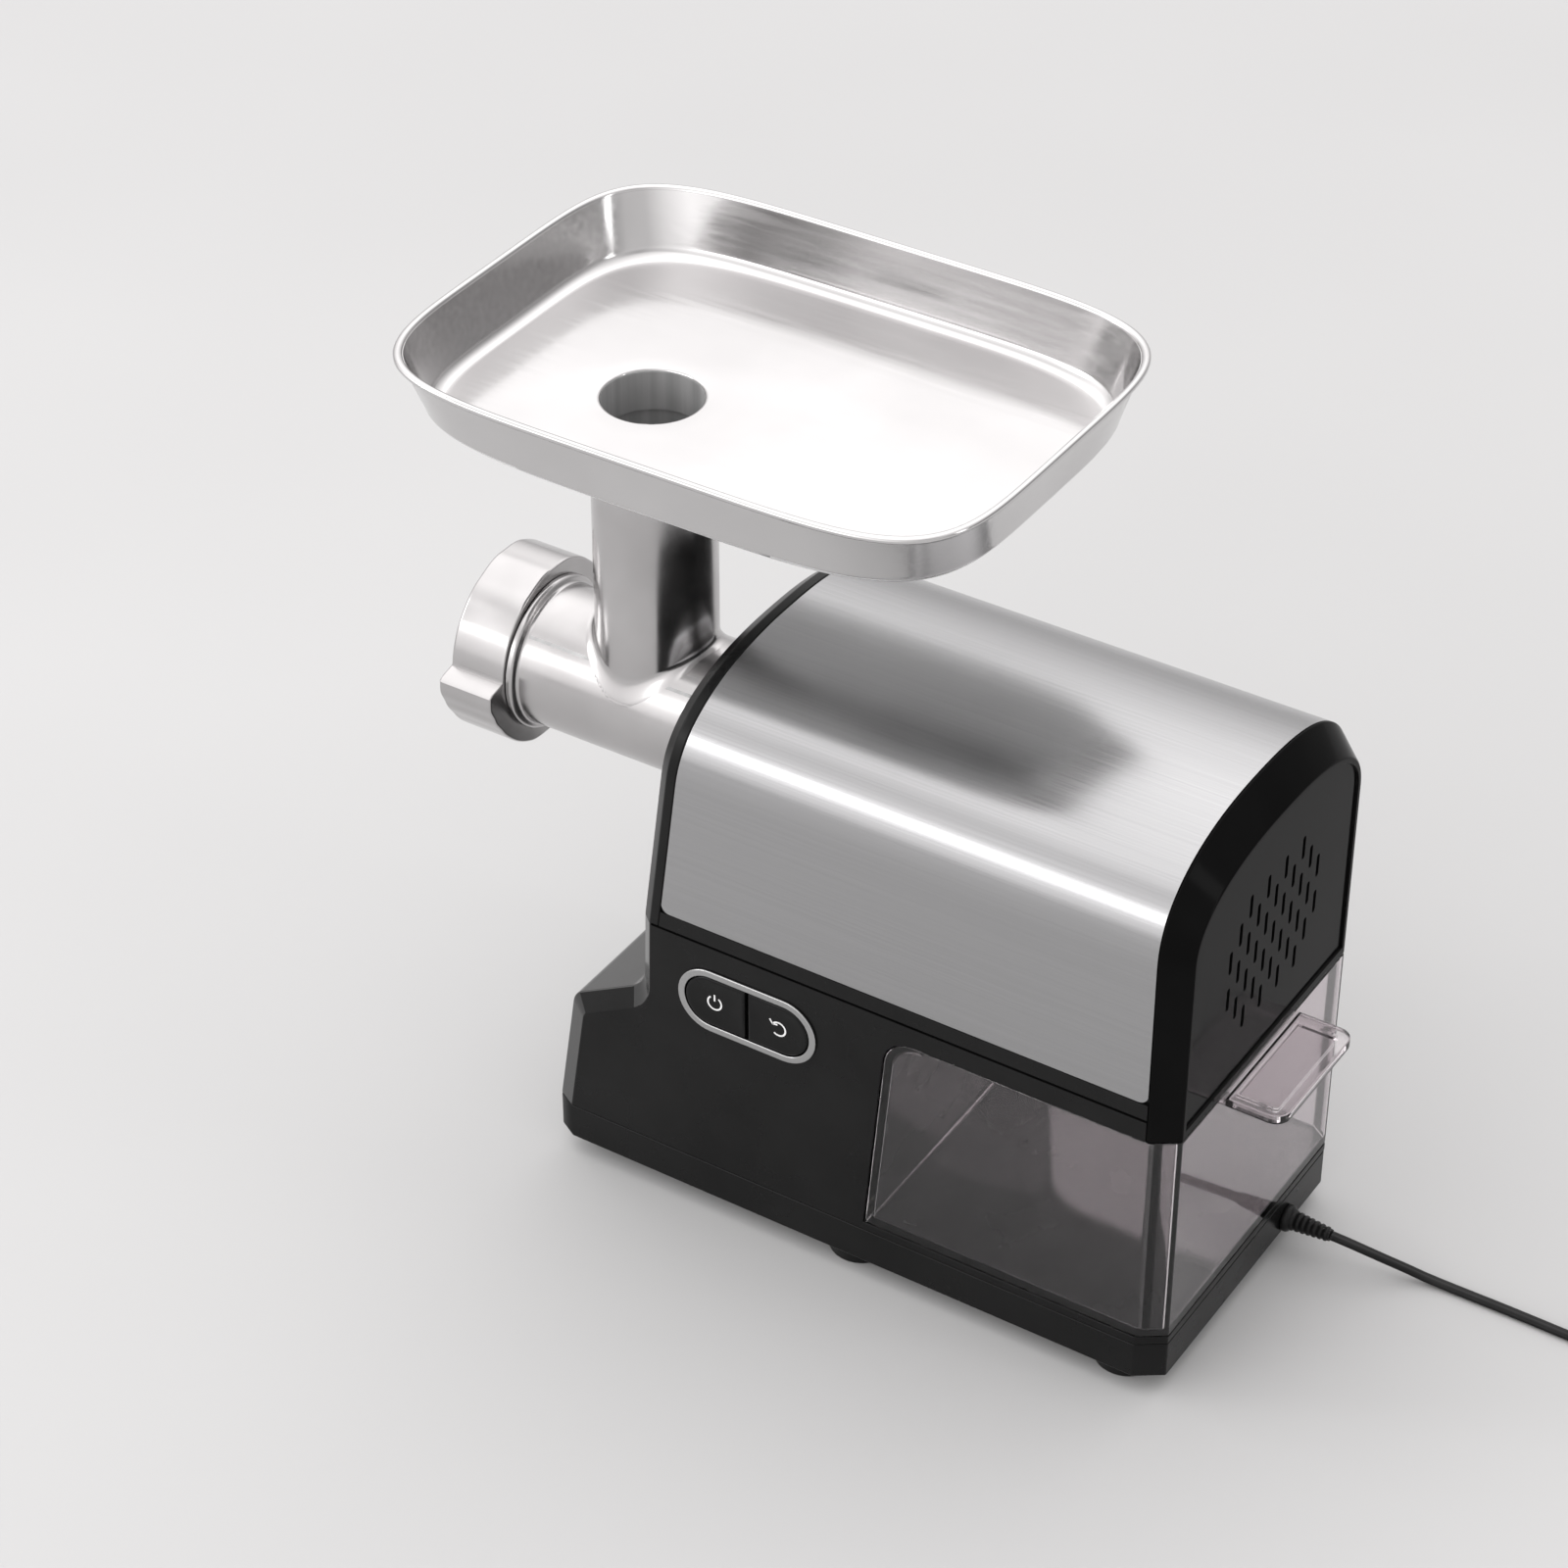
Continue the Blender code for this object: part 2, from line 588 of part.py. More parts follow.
def output_train():
    pivot = (-0.064, 0, AXIS_Z)
    aim = math.atan2(INTERMEDIATE_YZ[1] - AXIS_Z, INTERMEDIATE_YZ[0])
    teeth = gear(50, 0.0015, (0, AXIS_Z), aim)
    wheel = build("output_gear", prism(teeth, "x", -0.0710, -0.0570), GEAR_STEEL, pivot)
    combine(wheel, "DIFFERENCE", rod("x", (0, AXIS_Z), 0.0083, -0.08, -0.05, 24))
    profile = [(-0.0980, 0.0095), (-0.0797, 0.0095), (-0.0797, 0.0080), (-0.0567, 0.0080),
               (-0.0567, 0.0060), (-0.0455, 0.0060)]
    shaft = build("drive_shaft", turned(profile, "x", (0, AXIS_Z), 24), GEAR_STEEL, pivot)
    socket = prism(moved(circle(0.0082, 4, math.pi / 4), (0, AXIS_Z)), "x", -0.11, -0.0830)
    combine(shaft, "DIFFERENCE", socket)


def intermediate_train():
    pivot = (-0.050, *INTERMEDIATE_YZ)
    back = math.atan2(AXIS_Z - INTERMEDIATE_YZ[1], -INTERMEDIATE_YZ[0])
    pinion = gear(10, 0.0015, INTERMEDIATE_YZ, back + math.pi / 10)
    piece = build("intermediate_pinion", prism(pinion, "x", -0.0712, -0.0565), GEAR_STEEL, pivot)
    combine(piece, "UNION", rod("x", INTERMEDIATE_YZ, 0.0040, -0.0785, -0.0340, 16))
    aim = math.atan2(MOTOR_YZ[1] - INTERMEDIATE_YZ[1], MOTOR_YZ[0] - INTERMEDIATE_YZ[0])
    wheel = build("intermediate_gear", prism(gear(60, 0.0010, INTERMEDIATE_YZ, aim), "x", -0.0430, -0.0350),
                  NYLON, pivot)
    combine(wheel, "DIFFERENCE", rod("x", INTERMEDIATE_YZ, 0.0043, -0.05, -0.03, 16))


def motor():
    cy, cz = MOTOR_YZ
    field = [(-0.0160, 0.0235), (-0.0160, 0.0365), (0.0440, 0.0365), (0.0440, 0.0235)]
    build("motor_field", turned(field, "x", MOTOR_YZ, 32, closed=True), COPPER)
    front = [(-0.0300, 0.0113), (-0.0300, 0.0365), (-0.0163, 0.0365), (-0.0163, 0.0330), (-0.0260, 0.0330),
             (-0.0260, 0.0113)]
    rear = [(0.0443, 0.0330), (0.0443, 0.0365), (0.0580, 0.0365), (0.0580, 0.0113), (0.0540, 0.0113),
            (0.0540, 0.0330)]
    for name, profile, low, high in (("motor_front_bracket", front, -0.0298, -0.0262),
                                     ("motor_rear_bracket", rear, 0.0542, 0.0578)):
        piece = build(name, turned(profile, "x", MOTOR_YZ, 32, closed=True), ALLOY)
        combine(piece, "UNION", block((low, cy - 0.024, 0.1531), (high, cy + 0.024, cz - 0.024)))
    ring("motor_front_bearing", MOTOR_YZ, 0.0110, 0.0043, -0.0300, -0.0232)
    ring("motor_rear_bearing", MOTOR_YZ, 0.0110, 0.0043, 0.0540, 0.0600)
    pivot = (0, cy, cz)
    spindle = [(-0.0450, 0.0023), (-0.0303, 0.0023), (-0.0303, 0.0040), (-0.0140, 0.0040), (-0.0140, 0.0228),
               (0.0420, 0.0228), (0.0420, 0.0040), (0.0450, 0.0040), (0.0450, 0.0125), (0.0520, 0.0125),
               (0.0520, 0.0040), (0.0780, 0.0040)]
    build("motor_armature", turned(spindle, "x", MOTOR_YZ, 24), COPPER, pivot)
    back = math.atan2(INTERMEDIATE_YZ[1] - cz, INTERMEDIATE_YZ[0] - cy)
    teeth = gear(10, 0.0010, MOTOR_YZ, back + math.pi / 10)
    pinion = build("motor_pinion", prism(teeth, "x", -0.0440, -0.0340), GEAR_STEEL, pivot)
    combine(pinion, "DIFFERENCE", rod("x", MOTOR_YZ, 0.0026, -0.05, -0.03, 12))
    motor_fan(pivot)


def motor_fan(pivot):
    """Flat hub with nine radial blades."""
    blades = 9
    outline = []
    for i in range(blades):
        middle = 2 * math.pi * i / blades
        for turn, radius in ((-0.30, 0.011), (-0.045, 0.033), (0.045, 0.033), (0.30, 0.011)):
            outline.append((radius * math.cos(middle + turn), radius * math.sin(middle + turn)))
    fan = build("motor_fan", prism(moved(outline, MOTOR_YZ), "x", 0.0640, 0.0750), NYLON, pivot)
    return combine(fan, "DIFFERENCE", rod("x", MOTOR_YZ, 0.0043, 0.06, 0.08, 16))


# ---- grinding head -----------------------------------------------------------------------------
def grinder_head():
    profile = [(BARREL_FRONT_X, THREAD_R), (-0.2050, THREAD_R), (-0.2044, BEAD_R), (-0.2018, BEAD_R),
               (-0.2010, BARREL_R), (BARREL_REAR_X, BARREL_R)]
    pivot = (BARREL_REAR_X, 0, AXIS_Z)
    head = build("grinder_head", turned(profile, "x", (0, AXIS_Z), 40), POLISHED, pivot)
    bore = [(BARREL_FRONT_X - 0.01, PLATE_R + GAP), (-0.2220, PLATE_R + GAP), (-0.2220, BARREL_BORE_R),
            (-0.1120, BARREL_BORE_R), (-0.1120, 0.0100), (-0.070, 0.0100)]
    combine(head, "DIFFERENCE", turned(bore, "x", (0, AXIS_Z), 40),
            rod("z", (NECK_X, 0), NECK_BORE_R, AXIS_Z + 0.012, NECK_TOP_Z, 32))


def feed_neck():
    """The upright tube of the head, with a saddle foot that follows the barrel."""
    low = AXIS_Z + 0.015
    tube = [(low, NECK_BORE_R), (low, NECK_R), (NECK_TOP_Z, NECK_R), (NECK_TOP_Z, NECK_BORE_R)]
    shape = turned(tube, "z", (NECK_X, 0), 40, closed=True)
    neck = build("feed_neck", shape, POLISHED, (NECK_X, 0, NECK_TOP_Z))
    return combine(neck, "DIFFERENCE", rod("x", (0, AXIS_Z), BARREL_R + GAP, -0.19, -0.11, 64))


def auger():
    """Screw of 2.75 turns on a core whose square tail fits the drive shaft."""
    pivot = (BARREL_REAR_X, 0, AXIS_Z)
    front, rear = -0.2158, -0.1180
    turns = 2.75
    steps = 44
    root, tip, half = 0.008, 0.0264, 0.0022
    rings = []
    for i in range(steps + 1):
        share = i / steps
        x = front + half + (rear - front - 2 * half) * share
        angle = 2 * math.pi * turns * share
        c, s = math.cos(angle), math.sin(angle)
        section = ((x - half * 1.6, root), (x - half * 0.6, tip),
                   (x + half * 0.6, tip), (x + half * 1.6, root))
        rings.append([(px, r * c, AXIS_Z + r * s) for px, r in section])
    screw = build("auger", loft(rings), ALLOY, pivot)
    core = [(-0.2285, 0.0043), (-0.2174, 0.0043), (-0.2174, 0.0110), (-0.1185, 0.0125),
            (-0.1150, 0.0125), (-0.1150, 0.0094), (-0.1000, 0.0094), (-0.1000, 0.0070), (-0.0995, 0.0070)]
    tail = prism(moved(circle(0.0076, 4, math.pi / 4), (0, AXIS_Z)), "x", -0.1005, -0.0860)
    stub = prism(moved(circle(0.0062, 4, math.pi / 4), (0, AXIS_Z)), "x", -0.2220, -0.2180)
    combine(screw, "UNION", turned(core, "x", (0, AXIS_Z), 24), tail, stub)
    washer = [(-0.1148, 0.0098), (-0.1148, 0.0190), (-0.1123, 0.0190), (-0.1123, 0.0098)]
    build("auger_bushing", turned(washer, "x", (0, AXIS_Z), 24, closed=True), NYLON, pivot)


def knife():
    """Four swept blades around a square eye."""
    outline = []
    for i in range(4):
        base = math.pi / 2 * i
        for turn, radius in ((-0.62, 0.0105), (-0.30, 0.0255), (0.06, 0.0262), (0.42, 0.0105)):
            outline.append((radius * math.cos(base + turn), radius * math.sin(base + turn)))
    piece = build("knife", prism(moved(outline, (0, AXIS_Z)), "x", -0.2218, -0.2178), POLISHED,
                  (BARREL_REAR_X, 0, AXIS_Z))
    socket = prism(moved(circle(0.0066, 4, math.pi / 4), (0, AXIS_Z)), "x", -0.23, -0.21)
    return combine(piece, "DIFFERENCE", socket)


def grinding_plate():
    piece = build("grinding_plate", rod("x", (0, AXIS_Z), PLATE_R, -0.2296, -0.2222, 40), ALLOY,
                  (-0.2222, 0, AXIS_Z))
    holes = []
    for count, radius, start in ((6, 0.0105, 0), (12, 0.0180, 0.13), (18, 0.0255, 0)):
        for y, z in moved(circle(radius, count, start), (0, AXIS_Z)):
            holes.append(rod("x", (y, z), 0.0026, -0.24, -0.21, 6))
    middle = rod("x", (0, AXIS_Z), 0.0047, -0.24, -0.21, 16)
    return combine(piece, "DIFFERENCE", middle, merge_shapes(holes))


def ring_nut_outline():
    """Round nut with two wings: each rises in a step, holds its height and fades out."""
    wing = [(0, 0.0), (4, 0.95), (10, 1.0), (22, 0.84), (36, 0.70), (52, 0.64), (70, 0.60), (80, 0.52),
            (92, 0.40), (104, 0.28), (118, 0.18), (132, 0.10), (146, 0.04), (160, 0.0), (172, 0.08)]
    out = []
    for first in (175, 355):
        for degrees, share in wing:
            angle = math.radians(first + degrees)
            r = NUT_BASE_R + share * (NUT_EAR_R - NUT_BASE_R)
            out.append((r * math.cos(angle), AXIS_Z + r * math.sin(angle)))
    return out


def ring_nut():
    nut = build("ring_nut", prism(ring_nut_outline(), "x", NUT_FRONT_X, NUT_REAR_X), POLISHED,
                (NUT_FRONT_X, 0, AXIS_Z))
    return combine(nut, "DIFFERENCE", rod("x", (0, AXIS_Z), THREAD_R + 0.0004, -0.2299, -0.19, 40),
                   rod("x", (0, AXIS_Z), 0.0275, -0.24, -0.2200, 36))


def feed_tray():
    """One pressed sheet: spout, flat floor around it, and walls that lean out to a rolled rim."""
    steps = 48
    cx, cy = TRAY_CENTRE

    def wall(inset, power):
        outline = superellipse(TRAY_HALF[0] - inset, TRAY_HALF[1] - inset, power, steps)
        return [(a + cx, b + cy) for a, b in outline]

    guide = wall(0.012, 4.4)
    aims = [math.atan2(b, a - NECK_X) for a, b in guide]

    def spout(radius):
        return [(NECK_X + radius * math.cos(t), radius * math.sin(t)) for t in aims]

    floor = TRAY_FLOOR_Z
    under = floor - TRAY_SHEET
    sheet = TRAY_SHEET
    rings = [along_z(spout(HOLE_R), NECK_TOP_Z - 0.018), along_z(spout(HOLE_R), floor),
             along_z(wall(0.0150, 4.2), floor), along_z(wall(0.0105, 4.4), floor + 0.003),
             along_z(wall(0.0085, 4.6), floor + 0.009), along_z(wall(0.0030, 5.2), TRAY_RIM_Z - 0.001),
             along_z(wall(0.0018, 5.2), TRAY_RIM_Z), along_z(wall(0.0004, 5.2), TRAY_RIM_Z - 0.0006),
             along_z(wall(0.0, 5.2), TRAY_RIM_Z - 0.0030), along_z(wall(0.0018, 5.2), TRAY_RIM_Z - 0.0034),
             along_z(wall(0.0085 - sheet, 4.6), under + 0.009),
             along_z(wall(0.0105 - sheet, 4.4), under + 0.003),
             along_z(wall(0.0145, 4.2), under), along_z(spout(HOLE_R + 0.001), under),
             along_z(spout(HOLE_R + 0.001), NECK_TOP_Z - 0.018)]
    return build("feed_tray", loft(rings, closed=True), POLISHED, (NECK_X, 0, NECK_TOP_Z))


# ---- storage drawer ----------------------------------------------------------------------------
def storage_drawer():
    def box_side(inset, top):
        shift = 0.0006 + inset
        line = bay_line(shift, DRAWER_Z + inset)
        lowered = [(x, z - inset - GAP * (z > DRAWER_TOP_Z - 0.001)) for x, z in line[1:-1]]
        rear = REAR_X - inset
        over = [(line[-2][0] + 0.002, top), (rear, top)] if inset else [(rear, top)]
        return [(rear, DRAWER_Z + inset), line[0]] + lowered + over

    half = BODY_HALF - GAP
    outer = prism(box_side(0, DRAWER_TOP_Z), "y", -half, half)
    drawer = build("storage_drawer", outer, CLEAR, (REAR_X, 0, DRAWER_Z))
    inner_half = half - DRAWER_WALL
    inner = tool(prism(box_side(DRAWER_WALL, DRAWER_TOP_Z + 0.02), "y", -inner_half, inner_half))
    corner_step = 0.0022
    moved_corners = [([(x - corner_step, y, z) for x, y, z in points], faces)
                     for points, faces in rear_corners(0.02, 0.17)]
    combine(inner, "DIFFERENCE", *moved_corners)
    combine(drawer, "DIFFERENCE", *rear_corners(0.02, 0.17), inner)
    return combine(drawer, "UNION", finger_pull())


def finger_pull():
    """Flat lip behind the rear wall."""
    reach = REAR_X + PULL_REACH
    middle = -0.0015
    inside = REAR_X - 0.001
    half = 0.0330
    lip = rounded([(inside, middle - half, 0), (reach, middle - half, 0.007),
                   (reach, middle + half, 0.007), (inside, middle + half, 0)], 4)
    return prism(lip, "z", 0.1300, 0.1345)


# ---- cord --------------------------------------------------------------------------------------
CORD_ROUTE = [(0.1723, 0.0365, 0.0160), (0.1800, 0.0371, 0.0153), (0.1885, 0.0392, 0.0130),
              (0.1965, 0.0423, 0.0098), (0.2045, 0.0455, 0.0066), (0.2130, 0.0478, 0.0040),
              (0.2230, 0.0489, 0.0029), (0.2350, 0.0492, 0.0027), (0.2500, 0.0493, 0.0027),
              (0.2650, 0.0492, 0.0027), (0.2820, 0.0490, 0.0027), (0.2990, 0.0490, 0.0027)]


def smooth_route(points, parts):
    """Points along a Catmull-Rom curve through the route."""
    out = []
    padded = [points[0]] + points + [points[-1]]
    for i in range(1, len(padded) - 2):
        a, b, c, d = padded[i - 1:i + 3]
        for k in range(parts):
            t = k / parts
            weights = (2 * t * t - t - t ** 3, 2 - 5 * t * t + 3 * t ** 3,
                       t + 4 * t * t - 3 * t ** 3, t ** 3 - t * t)
            out.append(tuple(sum(w * p[j] for w, p in zip(weights, (a, b, c, d))) / 2 for j in range(3)))
    return out + [points[-1]]


def cord():
    route = smooth_route(CORD_ROUTE, 1)
    curve = bpy.data.curves.new("power_cord", "CURVE")
    curve.dimensions = "3D"
    curve.bevel_depth = CORD_R
    curve.bevel_resolution = 2
    curve.use_fill_caps = True
    line = curve.splines.new("POLY")
    line.points.add(len(route) - 1)
    for point, place in zip(line.points, route):
        point.co = (*place, 1)
    curve.materials.append(RUBBER)
    piece = bpy.data.objects.new("power_cord", curve)
    piece.parent = frame
    bpy.context.scene.collection.objects.link(piece)
    x, y, z = CORD_EXIT
    relief = [(0.1340, 0.0042), (REAR_X + GAP, 0.0042), (REAR_X + GAP, 0.0062), (REAR_X + 0.0025, 0.0060),
              (REAR_X + 0.0035, 0.0046), (x - GAP, 0.0031)]
    build("strain_relief", turned(relief, "x", (y, z), 20), RUBBER)
    lay_by()


def lay_by():
    """The rest of the cord: a tied coil, and the plug beside it."""
    cx, cy = COIL_CENTRE
    low, high = 0.0016, 0.0112
    inner, outer = COIL_R - 0.0052, COIL_R + 0.0052
    section = [(low, inner), (low, outer), (high, outer), (high, inner)]
    build("cord_coil", turned(section, "z", COIL_CENTRE, 40, closed=True), RUBBER)
    band = [(cy + COIL_R - 0.0064, low - 0.0012), (cy + COIL_R + 0.0064, low - 0.0012),
            (cy + COIL_R + 0.0064, high + 0.0012), (cy + COIL_R - 0.0064, high + 0.0012)]
    hole = [(cy + COIL_R - 0.0055, low - 0.0003), (cy + COIL_R + 0.0055, low - 0.0003),
            (cy + COIL_R + 0.0055, high + 0.0003), (cy + COIL_R - 0.0055, high + 0.0003)]
    rings = [along_x(band, cx - 0.003), along_x(band, cx + 0.003),
             along_x(hole, cx + 0.003), along_x(hole, cx - 0.003)]
    build("cord_tie", loft(rings, closed=True), BLACK)
    plug(cx + 0.038, cy + 0.025)


def plug(x, y):
    """Two-pin plug lying flat beside the coil, pins towards +Y."""
    z = 0.0078
    sections = ((-0.020, 0.0035, 0.0035), (-0.012, 0.0045, 0.0042), (-0.006, 0.0085, 0.0062),
                (0.008, 0.0125, 0.0070), (0.014, 0.0130, 0.0070), (0.0145, 0.0122, 0.0062))
    rings = [along_y([(x + a, z + b) for a, b in superellipse(half_x, half_z, 3.0, 24)], y + place)
             for place, half_x, half_z in sections]
    build("plug_body", loft(rings), RUBBER)
    for name, side in (("plug_pin_left", -1), ("plug_pin_right", 1)):
        pin = [along_y(moved(circle(r, 12), (x + side * 0.0075, z)), y + at)
               for at, r in ((0.0148, 0.0021), (0.0320, 0.0021), (0.0335, 0.0014))]
        build(name, loft(pin), ALLOY)


def main():
    lower_housing()
    base_plate()
    feet()
    front_frame()
    upper_housing()
    steel_cover()
    rear_cover()
    button_bezel()
    push_button("power_button", -1)
    push_button("reverse_button", 1)
    switches()
    circuit_board()
    head_release_button()
    head_collar()
    gearbox()
    output_train()
    intermediate_train()
    motor()
    grinder_head()
    feed_neck()
    auger()
    knife()
    grinding_plate()
    ring_nut()
    feed_tray()
    storage_drawer()
    cord()


main()
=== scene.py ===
import json
from math import acos, atan2, copysign, cos, hypot, pi, radians, sin, sqrt, tan

import bmesh
import bpy
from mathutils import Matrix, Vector


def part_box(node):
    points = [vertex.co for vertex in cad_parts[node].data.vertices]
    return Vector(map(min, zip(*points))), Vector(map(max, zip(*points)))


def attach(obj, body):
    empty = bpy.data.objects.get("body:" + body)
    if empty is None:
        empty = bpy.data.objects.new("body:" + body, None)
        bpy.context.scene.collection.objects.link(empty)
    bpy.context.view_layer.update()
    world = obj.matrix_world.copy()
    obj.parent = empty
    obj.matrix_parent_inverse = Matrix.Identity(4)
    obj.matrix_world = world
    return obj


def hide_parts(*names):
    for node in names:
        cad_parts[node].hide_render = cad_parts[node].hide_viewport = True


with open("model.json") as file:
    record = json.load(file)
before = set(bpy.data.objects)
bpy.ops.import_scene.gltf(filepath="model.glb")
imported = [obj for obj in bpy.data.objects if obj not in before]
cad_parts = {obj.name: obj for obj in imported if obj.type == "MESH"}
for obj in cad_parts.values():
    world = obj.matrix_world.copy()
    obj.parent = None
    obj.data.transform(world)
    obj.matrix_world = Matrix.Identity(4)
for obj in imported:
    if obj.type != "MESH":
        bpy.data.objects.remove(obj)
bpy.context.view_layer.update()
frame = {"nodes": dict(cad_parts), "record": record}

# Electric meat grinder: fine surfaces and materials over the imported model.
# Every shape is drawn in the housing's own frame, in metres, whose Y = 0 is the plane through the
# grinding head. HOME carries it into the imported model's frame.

nodes = frame["nodes"]

# ---- sizes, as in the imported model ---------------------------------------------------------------
GAP = 0.0003
BODY_HALF = 0.080
BODY_TOP = 0.273
SHOULDER = 0.225
ROUND_POWER = 2.4
SEAM_Z = 0.1493
STEEL_Z = 0.1576
RAKE = 0.127
FRONT_X = -0.1062
FRONT_EDGE_X = -0.1007
CHAMFER_Y = 0.005
STEEL_FRONT_X = -0.0960
STEEL_REAR_X = 0.1374
REAR_X = 0.150
REAR_EDGE_X = 0.1386
REAR_INSET = 0.0078
REAR_DROP = 0.0140
BASE_FRONT_X = -0.1538
CHIN_WIDEN = 1.6
BASE_Z = 0.010
BASE_TOP_Z = 0.0282
FEET = (("front", -0.122, 0.036), ("middle", -0.0055, 0.061), ("rear", 0.1255, 0.060))
DRAWER_Z = 0.0325
DRAWER_TOP_Z = 0.138
DRAWER_WALL = 0.0025
BAY_FOOT_X = 0.0066
BAY_LEAN = 0.0875
PULL_REACH = 0.026
AXIS_Z = 0.2042
NECK_X = -0.1485
NECK_R = 0.02675
NECK_TOP_Z = 0.350
NECK_BORE_R = 0.0228
BARREL_R = 0.03215
BARREL_BORE_R = 0.0270
BARREL_FRONT_X = -0.226
BARREL_REAR_X = -0.0843
THREAD_R = 0.0336
BEAD_R = 0.0353
PLATE_R = 0.0310
PLATE_FRONT_X = -0.2296
PLATE_REAR_X = -0.2222
PLATE_SEAT_X = -0.2220
NUT_FRONT_X = -0.2325
NUT_REAR_X = -0.2049
NUT_BASE_R = 0.0368
NUT_EAR_R = 0.0465
TRAY_CENTRE = (-0.1003, 0.0157)
TRAY_HALF = (0.1387, 0.1037)
TRAY_FLOOR_Z = 0.3516
TRAY_RIM_Z = 0.381
TRAY_SHEET = 0.0012
HOLE_R = 0.0215
BUTTON_CENTRE = (-0.0516, 0.1206)
BUTTON_HALF_HIGH = 0.0148
BUTTON_SIGN_X = 0.0160
BUTTON_SIGN_Y = -0.08078
SIGN_R = 0.0034
SIGN_STROKE = 0.0008
RELEASE_YZ = (0.055, 0.196)
CORD_EXIT = (0.1723, 0.0365, 0.016)
CORD_HALF_WIDE = 0.0025
CORD_HALF_THICK = 0.0015
COIL_CENTRE = (0.322, 0.078)
COIL_R = 0.029
PLUG_AT = (0.360, 0.103, 0.0078)

upper_low, upper_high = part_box("upper_housing")
HOME = Vector((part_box("rear_cover")[1][0] - REAR_X, (upper_low[1] + upper_high[1]) / 2, 0))


# ---- camera and light ----------------------------------------------------------------------------
# Grey levels by how high a direction points, from straight down at 0 to straight up at 1.
NEAR_SKY = ((0.0, 0.30), (0.30, 0.52), (0.50, 0.62), (0.66, 0.80), (0.78, 0.62), (0.87, 0.52), (0.92, 0.78),
            (1.0, 0.84))
FAR_SKY = ((0.0, 0.28), (0.50, 0.30), (0.58, 0.36), (0.66, 0.50), (0.74, 0.66), (0.79, 0.84), (0.86, 0.95),
           (1.0, 0.84))


def linked(name, data):
    """A new object in the scene."""
    made = bpy.data.objects.new(name, data)
    bpy.context.scene.collection.objects.link(made)
    return made


def camera_and_light():
    lens = bpy.data.cameras.new("camera")
    lens.lens = 96.4
    lens.sensor_width = 36
    lens.clip_end = 50
    camera = linked("camera", lens)
    eye = Vector((0.69623, -1.22447, 1.24264)) + HOME
    target = Vector((0, -0.13236, 0.29377)) + HOME
    camera.location = eye
    camera.rotation_euler = (target - eye).to_track_quat("-Z", "Y").to_euler()
    bpy.context.scene.camera = camera
    soft_light("light_near", (-0.75, -1.7, 0.95), (0, 0, 0.2), (1.5, 0.30), 4.5)
    soft_light("light_rear", (1.9, 0.3, 0.8), (0, 0, 0.15), (0.3, 1.0), 2.5)
    soft_light("light_head", (-1.5, -0.9, 1.0), (-0.1, 0, 0.25), (0.35, 0.8), 5)
    bpy.context.scene.world = studio_sky()
    bpy.context.scene.view_settings.view_transform = "Standard"


def studio_sky():
    """Grey at the horizon and bright overhead; the far half differs from the near one, and +X is dimmer."""
    world = bpy.data.worlds.new("studio")
    world.use_nodes = True
    tree = world.node_tree
    place = tree.nodes.new("ShaderNodeTexCoord")
    split = tree.nodes.new("ShaderNodeSeparateXYZ")
    tree.links.new(place.outputs["Generated"], split.inputs[0])
    near = sky_ramp(tree, split, NEAR_SKY)
    far = sky_ramp(tree, split, FAR_SKY)
    across = span(tree, split.outputs["Y"], (-0.25, 0.15), (0, 1))
    sides = tree.nodes.new("ShaderNodeMix")
    sides.data_type = "RGBA"
    tree.links.new(across, sides.inputs["Factor"])
    tree.links.new(near, sides.inputs["A"])
    tree.links.new(far, sides.inputs["B"])
    strength = span(tree, split.outputs["X"], (0.0, 0.7), (2.35, 1.1))
    background = tree.nodes["Background"]
    tree.links.new(sides.outputs["Result"], background.inputs["Color"])
    tree.links.new(strength, background.inputs["Strength"])
    return world


def sky_ramp(tree, split, stops):
    ramp = tree.nodes.new("ShaderNodeValToRGB")
    tree.links.new(span(tree, split.outputs["Z"], (-1, 1), (0, 1)), ramp.inputs["Fac"])
    made = ramp.color_ramp.elements
    while len(made) < len(stops):
        made.new(0.5)
    for stop, (position, shade) in zip(made, stops):
        stop.position, stop.color = position, (shade, shade * 0.985, shade * 0.985, 1)
    return ramp.outputs["Color"]


def span(tree, value, given, wanted):
    """The value moved from one range of numbers to another."""
    node = tree.nodes.new("ShaderNodeMapRange")
    for name, number in zip(("From Min", "From Max", "To Min", "To Max"), given + wanted):
        node.inputs[name].default_value = number
    tree.links.new(value, node.inputs["Value"])
    return node.outputs[0]


def soft_light(name, place, aim, size, power):
    data = bpy.data.lights.new(name, "AREA")
    data.shape = "RECTANGLE"
    data.size, data.size_y = size
    data.energy = power
    light = linked(name, data)
    light.location = place
    light.rotation_euler = (Vector(aim) - Vector(place)).to_track_quat("-Z", "Y").to_euler()


# ---- materials -----------------------------------------------------------------------------------
EVEN = (1, 1, 1)
NOISE_RANGE = (0.3, 0.7)


def grey(level):
    return (level, level, level)


